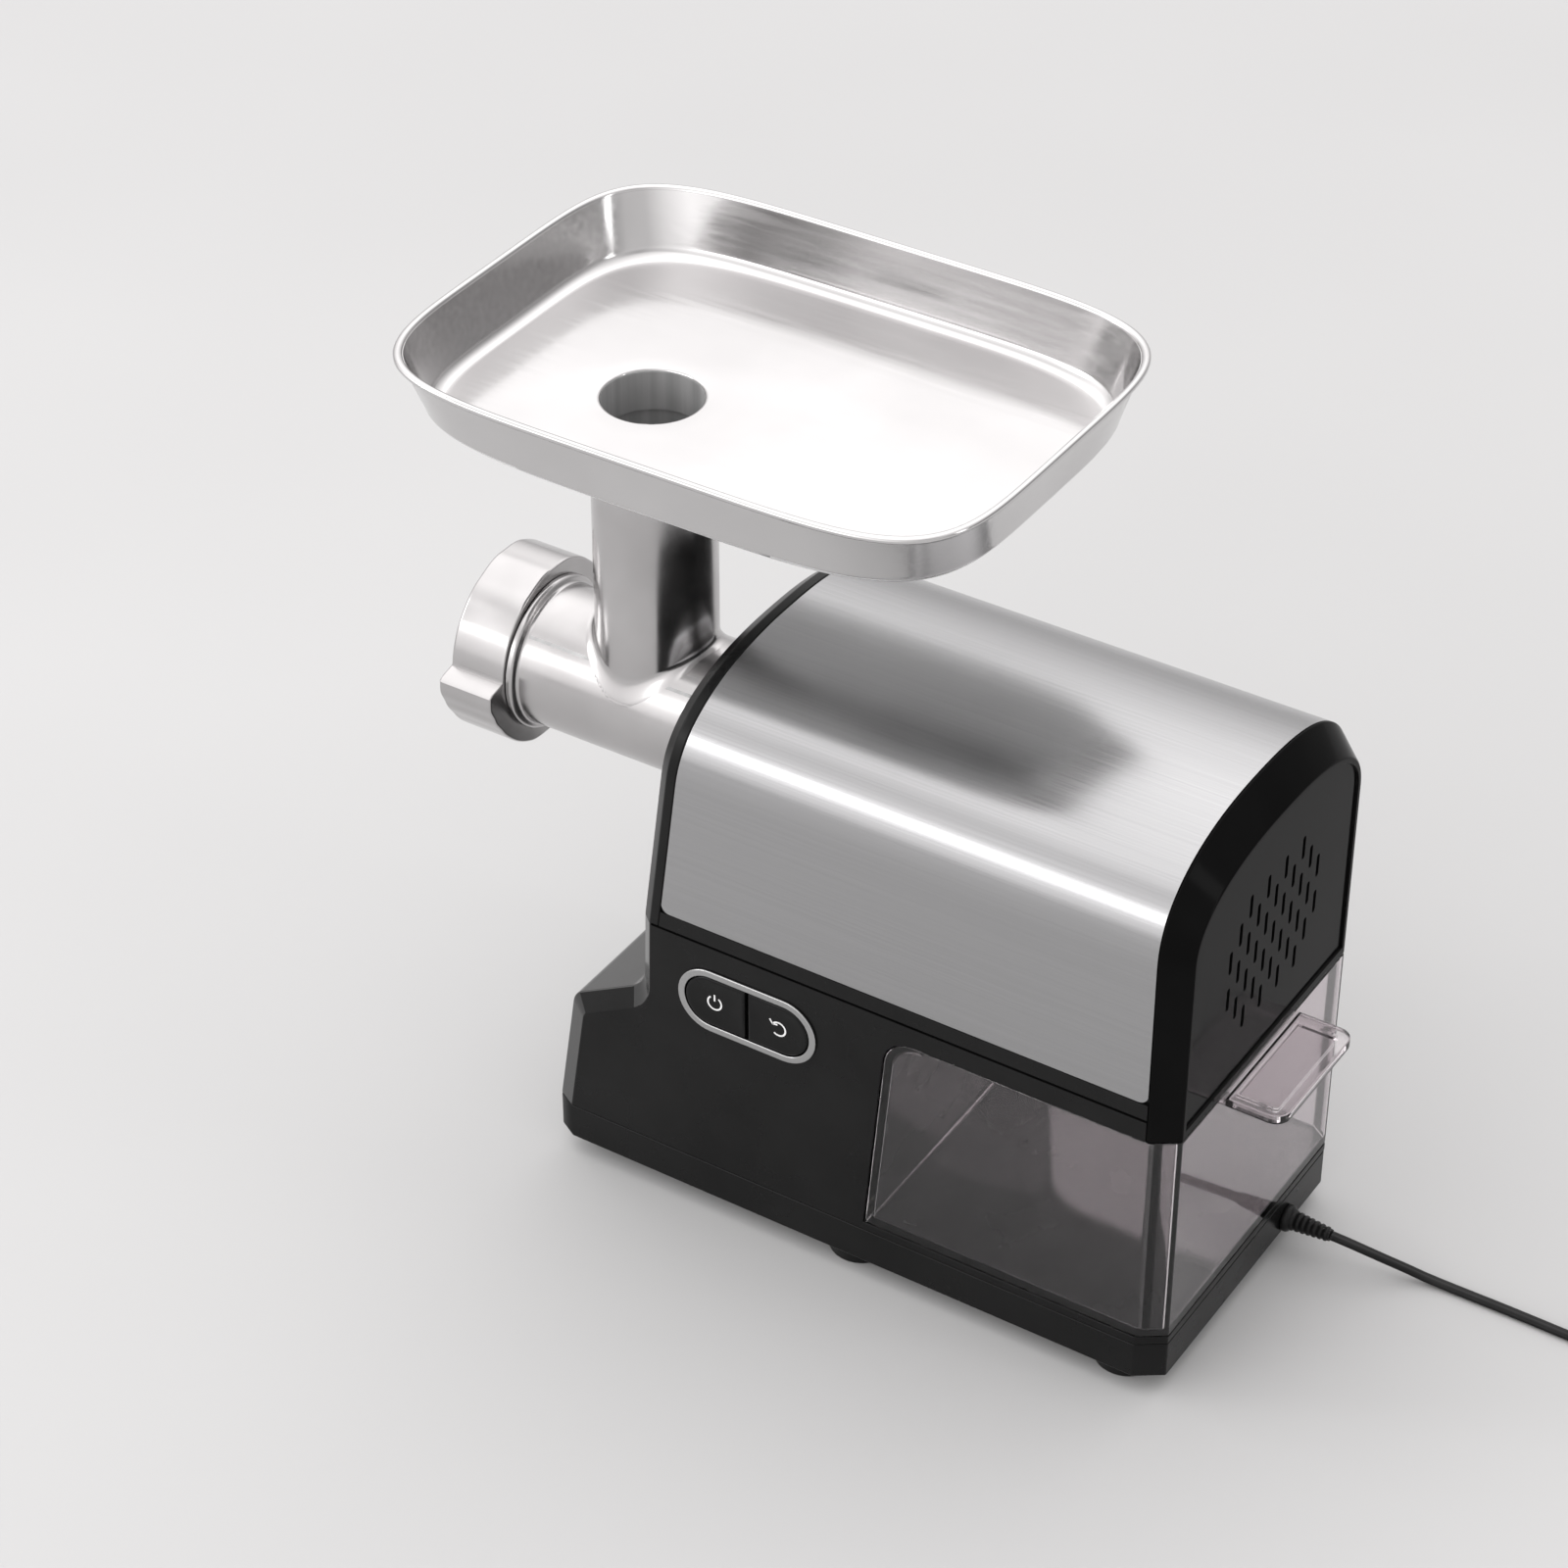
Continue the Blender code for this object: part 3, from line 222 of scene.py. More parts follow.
class Look:
    """A Principled material whose roughness, colour and normal come from layers of noise."""

    def __init__(self, name, colour, roughness, metallic=0.0, **sockets):
        self.material = bpy.data.materials.new(name)
        self.material.use_nodes = True
        self.material.diffuse_color = (*colour, 1)
        self.tree = self.material.node_tree
        self.shader = self.tree.nodes["Principled BSDF"]
        self.shader.inputs["Base Color"].default_value = (*colour, 1)
        self.shader.inputs["Roughness"].default_value = roughness
        self.shader.inputs["Metallic"].default_value = metallic
        for socket, value in sockets.items():
            self.shader.inputs[socket.replace("_", " ")].default_value = value
        self.place = self.tree.nodes.new("ShaderNodeTexCoord")
        self.normal = None

    def noise(self, scale, stretch, detail):
        mapping = self.tree.nodes.new("ShaderNodeMapping")
        mapping.inputs["Scale"].default_value = stretch
        noise = self.tree.nodes.new("ShaderNodeTexNoise")
        noise.inputs["Scale"].default_value = scale
        noise.inputs["Detail"].default_value = detail
        self.tree.links.new(self.place.outputs["Object"], mapping.inputs["Vector"])
        self.tree.links.new(mapping.outputs[0], noise.inputs["Vector"])
        return noise.outputs["Fac"]

    def rough(self, value, low, high):
        """Roughness that drifts from low to high with the noise."""
        drift = span(self.tree, value, NOISE_RANGE, (low, high))
        self.tree.links.new(drift, self.shader.inputs["Roughness"])

    def bump(self, value, depth, strength=1.0):
        node = self.tree.nodes.new("ShaderNodeBump")
        node.inputs["Distance"].default_value = depth
        node.inputs["Strength"].default_value = strength
        self.tree.links.new(value, node.inputs["Height"])
        if self.normal:
            self.tree.links.new(self.normal, node.inputs["Normal"])
        self.normal = node.outputs[0]
        self.tree.links.new(self.normal, self.shader.inputs["Normal"])

    def colours(self, value, first, second):
        mix = self.tree.nodes.new("ShaderNodeMix")
        mix.data_type = "RGBA"
        mix.inputs["A"].default_value = (*first, 1)
        mix.inputs["B"].default_value = (*second, 1)
        self.tree.links.new(span(self.tree, value, NOISE_RANGE, (0, 1)), mix.inputs["Factor"])
        self.tree.links.new(mix.outputs["Result"], self.shader.inputs["Base Color"])


def finish(name, colour, roughness, metallic, rough, bumps=(), colours=None, **sockets):
    """A layered material. rough, each bump and colours hold a noise's scale, stretch and detail first."""
    look = Look(name, colour, roughness, metallic, **sockets)
    look.rough(look.noise(*rough[:3]), *rough[3:])
    for layer in bumps:
        look.bump(look.noise(*layer[:3]), *layer[3:])
    if colours:
        look.colours(look.noise(*colours[:3]), *colours[3:])
    return look.material


# Fine grain along the housing, with a slow drift in shine.
BRUSHED = finish("brushed_steel", (0.38, 0.38, 0.384), 0.22, 1.0, (2600, (0.006, 1, 1), 3, 0.17, 0.26),
                 [(2600, (0.006, 1, 1), 3, 0.00001, 0.12)],
                 (1700, (0.004, 1, 1), 3, (0.365, 0.365, 0.369), (0.395, 0.395, 0.399)))
# The head and the nut: turned, then polished, with faint rings round the barrel.
ALLOY = finish("polished_alloy", (0.48, 0.47, 0.47), 0.15, 1.0, (40, EVEN, 5, 0.16, 0.27),
               [(700, (1, 0.02, 0.02), 2, 0.00001, 0.25), (18, EVEN, 2, 0.0004, 0.10)],
               (25, EVEN, 3, (0.45, 0.44, 0.44), (0.51, 0.50, 0.50)))
# The pressed tray: nearly a mirror, with the slight waves of drawn sheet.
SHEET = finish("polished_steel", (0.58, 0.572, 0.572), 0.12, 1.0, (300, (0.05, 1, 1), 3, 0.10, 0.20),
               [(9, EVEN, 2, 0.0006, 0.10), (900, (0.03, 1, 1), 2, 0.00001, 0.20)],
               (14, EVEN, 3, (0.55, 0.542, 0.542), (0.61, 0.602, 0.602)))
# The tray's underside, left satin by the press, and painted lighter than the top sheet: painted light that
# brightens the shaded underside.
SATIN_UNDERSIDE_PAINTED_LIGHT = finish("satin_sheet_painted_light", grey(0.82), 0.35, 0.8, (40, EVEN, 4, 0.3, 0.45),
                   [(900, (1, 0.1, 1), 3, 0.00003, 0.4)], (30, EVEN, 4, grey(0.76), grey(0.86)))
# The walls inside the spout and the neck, left dull from the casting and the press.
BORE = finish("dull_bore", grey(0.42), 0.5, 0.35, (60, (1, 1, 0.1), 3, 0.42, 0.58),
              [(500, (1, 1, 0.1), 3, 0.00005, 0.4)], (160, (1, 1, 0.03), 3, grey(0.34), grey(0.50)))
CHROME = finish("chrome_ring", grey(0.42), 0.18, 1.0, (200, EVEN, 3, 0.14, 0.24),
                [(400, EVEN, 2, 0.00001, 0.2)])
CAST = finish("cast_alloy", (0.60, 0.60, 0.61), 0.42, 1.0, (60, EVEN, 3, 0.34, 0.5),
              [(900, EVEN, 4, 0.0001, 0.4)], (30, EVEN, 4, (0.52, 0.52, 0.53), (0.66, 0.66, 0.67)))
MACHINED = finish("gear_steel", (0.45, 0.45, 0.47), 0.32, 1.0, (500, (1, 0.1, 0.1), 3, 0.24, 0.42),
                  [(1200, (1, 0.05, 0.05), 2, 0.00002, 0.4)],
                  (40, EVEN, 3, (0.38, 0.38, 0.40), (0.50, 0.50, 0.52)))
# Satin ABS with a fine spark-eroded texture and a little wear in its shine.
BLACK = finish("black_plastic", grey(0.004), 0.28, 0.0, (22, EVEN, 5, 0.22, 0.34),
               [(2600, EVEN, 2, 0.00005, 0.35)], (35, EVEN, 4, grey(0.004), grey(0.007)),
               Specular_IOR_Level=0.16)
GLOSS = finish("gloss_black", grey(0.003), 0.12, 0.0, (30, EVEN, 6, 0.07, 0.2),
               [(12, EVEN, 2, 0.0003, 0.06)], (20, EVEN, 3, grey(0.003), grey(0.005)),
               Specular_IOR_Level=0.03)
# The polished facets at the front of the lower housing.
CHIN = finish("chin_gloss", grey(0.004), 0.14, 0.0, (30, EVEN, 4, 0.10, 0.2),
              [(40, EVEN, 2, 0.0001, 0.1)], (20, EVEN, 3, grey(0.003), grey(0.006)),
              Specular_IOR_Level=0.75)
# Faintly smoked clear plastic, with soft moulding waves and a few handling marks.
CLEAR = finish("clear_plastic", (0.86, 0.81, 0.83), 0.03, 0.0, (60, EVEN, 5, 0.01, 0.07),
               [(14, EVEN, 2, 0.0003, 0.06)], (9, EVEN, 2, (0.84, 0.79, 0.81), (0.89, 0.85, 0.87)),
               Transmission_Weight=1.0, IOR=1.46)
RUBBER = finish("rubber", grey(0.006), 0.36, 0.0, (80, EVEN, 4, 0.28, 0.46),
                [(1500, EVEN, 3, 0.00006, 0.5)], (50, EVEN, 3, grey(0.004), grey(0.008)),
                Specular_IOR_Level=0.2)
# Enamelled copper over laminations: fine turns along the motor's axis.
WINDING = (1500, (1, 0.05, 0.05), 2)
COPPER = finish("copper_winding", (0.60, 0.28, 0.13), 0.35, 1.0, (*WINDING, 0.25, 0.5),
                [(*WINDING, 0.0002, 0.5)], (*WINDING, (0.45, 0.18, 0.07), (0.70, 0.34, 0.16)))
NYLON = finish("nylon", (0.78, 0.76, 0.68), 0.45, 0.0, (90, EVEN, 3, 0.38, 0.55),
               [(1200, EVEN, 2, 0.00004, 0.4)], (45, EVEN, 3, (0.74, 0.72, 0.63), (0.82, 0.80, 0.73)))
TRACKS = (160, (1, 1, 0.2), 1)
BOARD = finish("circuit_board", (0.03, 0.16, 0.07), 0.45, 0.0, (*TRACKS, 0.35, 0.55),
               [(*TRACKS, 0.0001, 0.4)], (*TRACKS, (0.02, 0.11, 0.05), (0.05, 0.21, 0.09)))
PRINT = finish("white_print", grey(0.78), 0.5, 0.0, (400, EVEN, 3, 0.4, 0.6),
               colours=(600, EVEN, 4, grey(0.70), grey(0.84)))
PALE = finish("floor", grey(0.50), 0.6, 0.0, (3, EVEN, 3, 0.55, 0.7),
              colours=(2, EVEN, 2, grey(0.49), grey(0.51)), Specular_IOR_Level=0.1)
SLOT_LOOKS = {"black_plastic": BLACK, "gloss_black": GLOSS, "brushed_cover": BRUSHED, "polished_alloy": ALLOY,
              "polished_steel": SHEET, "cast_alloy": CAST, "gear_steel": MACHINED, "copper_winding": COPPER,
              "nylon": NYLON, "clear_plastic": CLEAR, "rubber": RUBBER, "board": BOARD}


# ---- shape tools ---------------------------------------------------------------------------------
def loft(rings, closed=False):
    """(points, faces) of a skin through rings of equal length, capped unless it closes on itself."""
    size = len(rings[0])
    points = [point for ring in rings for point in ring]
    faces = []
    for i in range(len(rings) if closed else len(rings) - 1):
        low = i * size
        high = (i + 1) % len(rings) * size
        for j in range(size):
            k = (j + 1) % size
            faces.append((low + j, low + k, high + k, high + j))
    if not closed:
        faces.append(tuple(reversed(range(size))))
        faces.append(tuple(range((len(rings) - 1) * size, len(rings) * size)))
    return points, faces


def joined(shapes):
    """Several separate bodies as one shape."""
    points, faces = [], []
    for more_points, more_faces in shapes:
        start = len(points)
        points += more_points
        faces += [tuple(start + i for i in face) for face in more_faces]
    return points, faces


def solid(name, shape, look):
    """An object from a shape in the housing's frame, with its normals out."""
    points, faces = shape
    mesh = bpy.data.meshes.new(name)
    mesh.from_pydata([Vector(p) + HOME for p in points], [], faces)
    work = bmesh.new()
    work.from_mesh(mesh)
    bmesh.ops.recalc_face_normals(work, faces=work.faces)
    if work.calc_volume(signed=True) < 0:
        bmesh.ops.reverse_faces(work, faces=work.faces)
    work.to_mesh(mesh)
    work.free()
    mesh.materials.append(look)
    return linked(name, mesh)


def combine(target, operation, *shapes):
    """Adds a Boolean for each shape, to be carried out by applied or settle."""
    for shape in shapes:
        step = target.modifiers.new(operation.lower(), "BOOLEAN")
        step.operation = operation
        step.solver = "EXACT"
        step.object = solid("tool", shape, BLACK)


def bevel(target, width, segments=3, angle=32):
    step = target.modifiers.new("bevel", "BEVEL")
    step.width = width
    step.segments = segments
    step.limit_method = "ANGLE"
    step.angle_limit = radians(angle)
    return target


def applied(target):
    """The object's mesh with its modifiers carried out. The modifiers and their cutters go."""
    tools = [step.object for step in target.modifiers if step.type == "BOOLEAN"]
    graph = bpy.context.evaluated_depsgraph_get()
    mesh = bpy.data.meshes.new_from_object(target.evaluated_get(graph))
    target.modifiers.clear()
    for tool in tools:
        bpy.data.objects.remove(tool)
    return mesh


def settle(target, sharp=40):
    """Applies the modifiers, shades the mesh smooth and weights its normals towards its large faces."""
    target.data = applied(target)
    target.data.shade_smooth()
    target.data.set_sharp_from_angle(angle=radians(sharp))
    weigh = target.modifiers.new("weigh", "WEIGHTED_NORMAL")
    weigh.keep_sharp = True
    return target


def refaced(target, look, chosen):
    """Gives the faces that chosen(centre, normal) picks another material, in the housing's frame."""
    target.data.materials.append(look)
    index = len(target.data.materials) - 1
    for face in target.data.polygons:
        if chosen(face.center - HOME, face.normal):
            face.material_index = index


def dull_inside(target, radius):
    """The walls of the spout and the neck's bore take the dull finish."""
    refaced(target, BORE, lambda centre, normal: centre.z < TRAY_FLOOR_Z - 0.0008
            and hypot(centre.x - NECK_X, centre.y) < radius)


def shown(target, body, material_slot, *replaced):
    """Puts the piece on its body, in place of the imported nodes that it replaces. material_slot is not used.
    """
    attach(target, body)
    if replaced:
        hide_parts(*replaced)
    return target


def circle(radius, steps, start=0.0):
    turn = 2 * pi / steps
    return [(radius * cos(start + i * turn), radius * sin(start + i * turn)) for i in range(steps)]


def along_x(outline, x):
    return [(x, y, z) for y, z in outline]


def along_y(outline, y):
    return [(x, y, z) for x, z in outline]


def along_z(outline, z):
    return [(x, y, z) for x, y in outline]


def moved(outline, centre):
    return [(a + centre[0], b + centre[1]) for a, b in outline]


def prism(outline, axis, low, high):
    place = {"x": along_x, "y": along_y, "z": along_z}[axis]
    return loft([place(outline, low), place(outline, high)])


def block(low, high):
    corners = [(low[0], low[1]), (high[0], low[1]), (high[0], high[1]), (low[0], high[1])]
    return prism(corners, "z", low[2], high[2])


def rod(axis, centre, radius, low, high, steps=64):
    return prism(moved(circle(radius, steps), centre), axis, low, high)


def turned(profile, axis, centre, steps=96, closed=False):
    """Solid of revolution: profile holds (place along the axis, radius) in order."""
    place = {"x": along_x, "y": along_y, "z": along_z}[axis]
    return loft([place(moved(circle(r, steps), centre), at) for at, r in profile], closed)


def rounded(corners, steps=8):
    """The polyline with each (a, b, radius) corner turned into an arc, whichever way it turns."""
    out = []
    last = len(corners) - 1
    for i, (a, b, radius) in enumerate(corners):
        if i in (0, last) or radius <= 0:
            out.append((a, b))
            continue
        before = (corners[i - 1][0] - a, corners[i - 1][1] - b)
        after = (corners[i + 1][0] - a, corners[i + 1][1] - b)
        u = [v / hypot(*before) for v in before]
        w = [v / hypot(*after) for v in after]
        half = acos(max(-1, min(1, u[0] * w[0] + u[1] * w[1]))) / 2
        reach = radius / tan(half)
        size = hypot(u[0] + w[0], u[1] + w[1])
        centre = [(a, b)[k] + (u[k] + w[k]) / size * radius / sin(half) for k in (0, 1)]
        begin = atan2(b + u[1] * reach - centre[1], a + u[0] * reach - centre[0])
        end = atan2(b + w[1] * reach - centre[1], a + w[0] * reach - centre[0])
        sweep = (end - begin + pi) % (2 * pi) - pi
        for k in range(steps + 1):
            angle = begin + sweep * k / steps
            out.append((centre[0] + radius * cos(angle), centre[1] + radius * sin(angle)))
    return out


def stadium(centre, half_long, half_high, steps=20):
    flat = half_long - half_high
    out = []
    for side in (1, -1):
        for k in range(steps + 1):
            angle = -pi / 2 + pi * k / steps
            out.append((centre[0] + side * (flat + half_high * cos(angle)),
                        centre[1] + side * half_high * sin(angle)))
    return out


def superellipse(half_a, half_b, power, steps):
    out = []
    for i in range(steps):
        angle = 2 * pi * i / steps
        c, s = cos(angle), sin(angle)
        a = half_a * copysign(abs(c) ** (2 / power), c)
        b = half_b * copysign(abs(s) ** (2 / power), s)
        out.append((a, b))
    return out


def crown(side, top, steps=72):
    """The curved roof line from -Y to +Y, this far inside the sides and below the crown."""
    half = BODY_HALF - side
    rise = BODY_TOP - top - SHOULDER
    out = []
    for i in range(steps + 1):
        angle = pi * (1 - i / steps)
        c, s = cos(angle), abs(sin(angle))
        y = half * copysign(abs(c) ** (2 / ROUND_POWER), c)
        out.append((y, SHOULDER + rise * s ** (2 / ROUND_POWER)))
    return out


def loaf(side, top, bottom):
    """Closed cross-section of the housing: flat bottom, upright sides and the crown."""
    half = BODY_HALF - side
    return [(-half, bottom)] + crown(side, top) + [(half, bottom)]


def leaning(outline, x):
    """The outline set across X, leaning back with the front of the housing."""
    return [(x + RAKE * (z - SEAM_Z), y, z) for y, z in outline]


# ---- housing -------------------------------------------------------------------------------------
def steel_cover():
    """The wrap-over sheet, with its four lower corners rounded."""
    corner = 0.0045
    sheet = 0.001

    def arch(from_end):
        short = max(corner - from_end, 0)
        low = STEEL_Z + corner - sqrt(corner ** 2 - short ** 2)
        return loaf(0, 0, low) + loaf(sheet, sheet, low)[::-1]

    stations = [corner * (1 - cos(pi / 2 * k / 6)) for k in range(7)]
    rings = [leaning(arch(d), STEEL_FRONT_X + d) for d in stations]
    rings += [along_x(arch(d), STEEL_REAR_X - d) for d in reversed(stations)]
    piece = bevel(solid("steel_cover_sheet", loft(rings), BRUSHED), 0.0003, 2, 50)
    shown(settle(piece, 30), "housing", "brushed_cover", "steel_cover")


def front_frame():
    """The raked front face: a shell with soft edges, open for the head's collar and the release button."""
    inner = 0.0035
    soft = 0.0005
    foot = SEAM_Z + GAP
    back = STEEL_FRONT_X - GAP
    stations = [(CHAMFER_Y, SEAM_Z + inner, FRONT_X + inner), (0.004, SEAM_Z + inner, back),
                (soft, foot + soft, back), (0, foot, back - soft), (0, foot, FRONT_EDGE_X + soft),
                (0.0002, foot, FRONT_EDGE_X - 0.0001), (soft + 0.0002, foot, FRONT_EDGE_X - soft - 0.0002),
                (CHAMFER_Y - soft, foot, FRONT_X + soft), (CHAMFER_Y + 0.0001, foot, FRONT_X + 0.0001),
                (CHAMFER_Y + soft, foot, FRONT_X)]
    rings = [leaning(loaf(inset, inset, low), x) for inset, low, x in stations]
    piece = solid("front_frame_shell", loft(rings), BLACK)
    through = (-0.13, -0.07)
    combine(piece, "DIFFERENCE", rod("x", (0, AXIS_Z), 0.0384, *through, 96),
            rod("x", RELEASE_YZ, 0.0083, *through, 48))
    shown(settle(piece), "housing", "black_plastic", "front_frame")


def vent_slots():
    """Staggered upright slots in seven rows, fewer in the outer rows."""
    half_pitch, row = 0.0076, 0.0093
    centre_z = 0.1970
    half_long, half_wide = 0.0057, 0.0013
    out = []
    for r, count in zip(range(-3, 4), (4, 5, 6, 5, 6, 5, 4)):
        for k in range(count):
            y = (2 * k - count + 1) * half_pitch
            flat = [(b, a) for a, b in stadium((centre_z + r * row, y), half_long, half_wide, 6)]
            out.append(prism(flat, "x", 0.140, 0.155))
    return joined(out)


def rear_cover():
    """The rear shell: a wide chamfer round a flat panel set back inside a thin rim."""
    front = STEEL_REAR_X + GAP
    low = DRAWER_TOP_Z + 2 * GAP
    soft = 0.0006
    rim = 0.0024
    stations = [(REAR_X - 0.0040, REAR_INSET + 0.003, REAR_DROP + 0.003, low + 0.003),
                (front, 0.004, 0.004, low + 0.003), (front, 0.0003, 0.0003, low + 0.0003),
                (front + 0.0003, 0, 0, low), (REAR_EDGE_X - 0.0003, 0, 0, low),
                (REAR_EDGE_X + 0.0003, 0.0002, 0.0003, low),
                (REAR_X - soft, REAR_INSET - 0.0004, REAR_DROP - 0.0006, low),
                (REAR_X - 0.0001, REAR_INSET + 0.0003, REAR_DROP + 0.0001, low + 0.0001),
                (REAR_X, REAR_INSET + soft, REAR_DROP + soft, low + soft),
                (REAR_X, REAR_INSET + rim, REAR_DROP + rim, low + 0.0040),
                (REAR_X - 0.0003, REAR_INSET + rim + 0.0003, REAR_DROP + rim + 0.0003, low + 0.0043),
                (REAR_X - 0.0011, REAR_INSET + rim + 0.0004, REAR_DROP + rim + 0.0004, low + 0.0044)]
    rings = [along_x(loaf(side, top, bottom), x) for x, side, top, bottom in stations]
    piece = solid("rear_cover_shell", loft(rings), GLOSS)
    combine(piece, "DIFFERENCE", vent_slots())
    shown(settle(piece), "housing", "gloss_black", "rear_cover")


def chin_line(inset):
    """Front of the lower housing from seam to base, set in by inset, and more on the chin's facets."""
    foot = (BASE_FRONT_X, BASE_TOP_Z)
    brow = (-0.1448, 0.0890)
    dip = (-0.1072, 0.1100)
    shifted = []
    lines = [((FRONT_X, SEAM_Z), dip), (dip, brow), (brow, foot)]
    for ((ax, az), (bx, bz)), widen in zip(lines, (1, CHIN_WIDEN, CHIN_WIDEN)):
        reach = inset * widen / hypot(bx - ax, bz - az)
        start = (ax - (bz - az) * reach, az + (bx - ax) * reach)
        shifted.append((start, (bx - ax, bz - az)))

    def at_height(line, z):
        (px, pz), (dx, dz) = line
        return px + dx * (z - pz) / dz, z

    def meeting(first, second):
        (px, pz), (dx, dz) = first
        (qx, qz), (ex, ez) = second
        t = ((qx - px) * ez - (qz - pz) * ex) / (dx * ez - dz * ex)
        return px + dx * t, pz + dz * t

    hollow = meeting(shifted[0], shifted[1])
    edge = meeting(shifted[1], shifted[2])
    return rounded([(*at_height(shifted[0], SEAM_Z), 0), (*hollow, 0.014 + inset),
                    (*edge, max(0.010 - inset, 0.004)), (*at_height(shifted[2], BASE_TOP_Z), 0)], 10)


def bay_line(shift, floor):
    """Front wall of the drawer bay from its floor up, with its rounded top corner."""
    foot = (BAY_FOOT_X + shift, DRAWER_Z - GAP)
    height = DRAWER_TOP_Z + GAP
    top = (foot[0] + BAY_LEAN * (height - foot[1]), height)
    low = (foot[0] + BAY_LEAN * (floor - foot[1]), floor)
    return rounded([(*low, 0), (*top, 0.014), (REAR_X, height, 0)], 12)


def rear_corners(low, high, back=0.0):
    """Wedges that cut the two upright chamfers at the rear, moved back into the housing if asked."""
    reach = 0.01
    slope = (REAR_X - REAR_EDGE_X) / REAR_INSET
    out = []
    for side in (-1, 1):
        wide = (REAR_EDGE_X - slope * reach - back, side * (BODY_HALF + reach))
        deep = (REAR_X + slope * reach - back, side * (BODY_HALF - REAR_INSET - reach))
        out.append(prism([wide, deep, (deep[0], wide[1])], "z", low, high))
    return out


def lower_housing():
    """The housing under the seam, open at the rear for the drawer, with the chin's facets polished."""
    def side(inset):
        bay = bay_line(0, DRAWER_Z - GAP)
        rear = [(STEEL_REAR_X, DRAWER_TOP_Z + GAP), (STEEL_REAR_X, SEAM_Z)]
        floor = [(REAR_X, BASE_TOP_Z), (REAR_X, DRAWER_Z - GAP)]
        return chin_line(inset) + floor + bay[:-1] + rear

    outer_y = BODY_HALF - CHAMFER_Y
    chamfer_x = FRONT_EDGE_X - FRONT_X
    rings = [along_y(side(chamfer_x), -BODY_HALF), along_y(side(0), -outer_y),
             along_y(side(0), outer_y), along_y(side(chamfer_x), BODY_HALF)]
    piece = solid("lower_housing_shell", loft(rings), BLACK)
    combine(piece, "DIFFERENCE", *rear_corners(0.02, 0.06))
    bevel(piece, 0.0005, 3, 25)
    combine(piece, "DIFFERENCE", prism(stadium(BUTTON_CENTRE, 0.0330, BUTTON_HALF_HIGH), "y", -0.084, -0.070),
            *seam_grooves())
    shown(settle(piece), "housing", "black_plastic", "lower_housing")
    refaced(piece, CHIN, lambda centre, normal: normal.x < -0.3 and centre.x < FRONT_X + 0.012)


def seam_grooves():
    """The shadow line under the upper housing, along both sides."""
    deep = 0.0011
    half_high = 0.0010
    middle = BODY_HALF - deep / 2
    return [block((STEEL_FRONT_X - 0.004, side * middle - deep, SEAM_Z - half_high),
                  (STEEL_REAR_X + 0.001, side * middle + deep, SEAM_Z + half_high)) for side in (-1, 1)]


def base_plate():
    """The plinth, with the cord's hole at the rear and a screw hole over each foot."""
    half = BODY_HALF
    step = (FRONT_EDGE_X - FRONT_X) * CHIN_WIDEN
    plan = [(BASE_FRONT_X, -half + CHAMFER_Y), (BASE_FRONT_X + step, -half), (REAR_EDGE_X, -half),
            (REAR_X, -half + REAR_INSET), (REAR_X, half - REAR_INSET), (REAR_EDGE_X, half),
            (BASE_FRONT_X + step, half), (BASE_FRONT_X, half - CHAMFER_Y)]
    piece = solid("base_plate_shell", prism(plan, "z", BASE_Z, BASE_TOP_Z - GAP), BLACK)
    combine(piece, "DIFFERENCE", rod("x", CORD_EXIT[1:], 0.0046, 0.132, 0.160, 32))
    for _, x, y in FEET:
        for side in (-1, 1):
            combine(piece, "DIFFERENCE", rod("z", (x, side * y), 0.0023, 0.005, 0.0215, 24))
    shown(settle(bevel(piece, 0.0008, 4, 30)), "housing", "black_plastic", "base_plate")


def feet():
    """Rubber feet with a soft edge and a moulded groove under each."""
    profile = [(0.0045, 0.0025), (0.0045, 0.0045), (0.0006, 0.0047), (0.0, 0.0053), (0.0, 0.0085),
               (0.0008, 0.0089), (0.0008, 0.0101), (0.0, 0.0105), (0.0, 0.0130), (0.0004, 0.0139),
               (0.0013, 0.0144), (0.0085, 0.0150), (0.0094, 0.0150), (BASE_Z - GAP, 0.0147),
               (BASE_Z - GAP, 0.0025)]
    for place, x, y in FEET:
        for name, side in (("near", -1), ("far", 1)):
            shape = turned(profile, "z", (x, side * y), 64, closed=True)
            piece = solid(f"rubber_foot_{place}_{name}", shape, RUBBER)
            shown(settle(piece), "housing", "rubber", f"foot_{place}_{name}")


# ---- controls ------------------------------------------------------------------------------------
def button_bezel():
    """Stadium ring with a flat face between soft edges."""
    half_band, height, soft = 0.00165, 0.0010, 0.0005
    foot, back = -0.0803, -0.0760
    face = foot - height
    profile = [(half_band, foot), (half_band, face + soft)]
    profile += [(half_band - soft * (1 - cos(t)), face + soft * (1 - sin(t)))
                for t in (pi / 2 * k / 4 for k in range(1, 5))]
    profile += [(-offset, y) for offset, y in reversed(profile)]
    rings = [along_y(stadium(BUTTON_CENTRE, 0.03275 + offset, 0.01450 + offset), y) for offset, y in profile]
    rings += [along_y(stadium(BUTTON_CENTRE, 0.0311, 0.0128), back)]
    rings += [along_y(stadium(BUTTON_CENTRE, 0.0327, 0.0145), y) for y in (back, foot)]
    piece = solid("bezel_ring", loft(rings, closed=True), CHROME)
    shown(settle(piece), "housing", "polished_steel", "button_bezel")


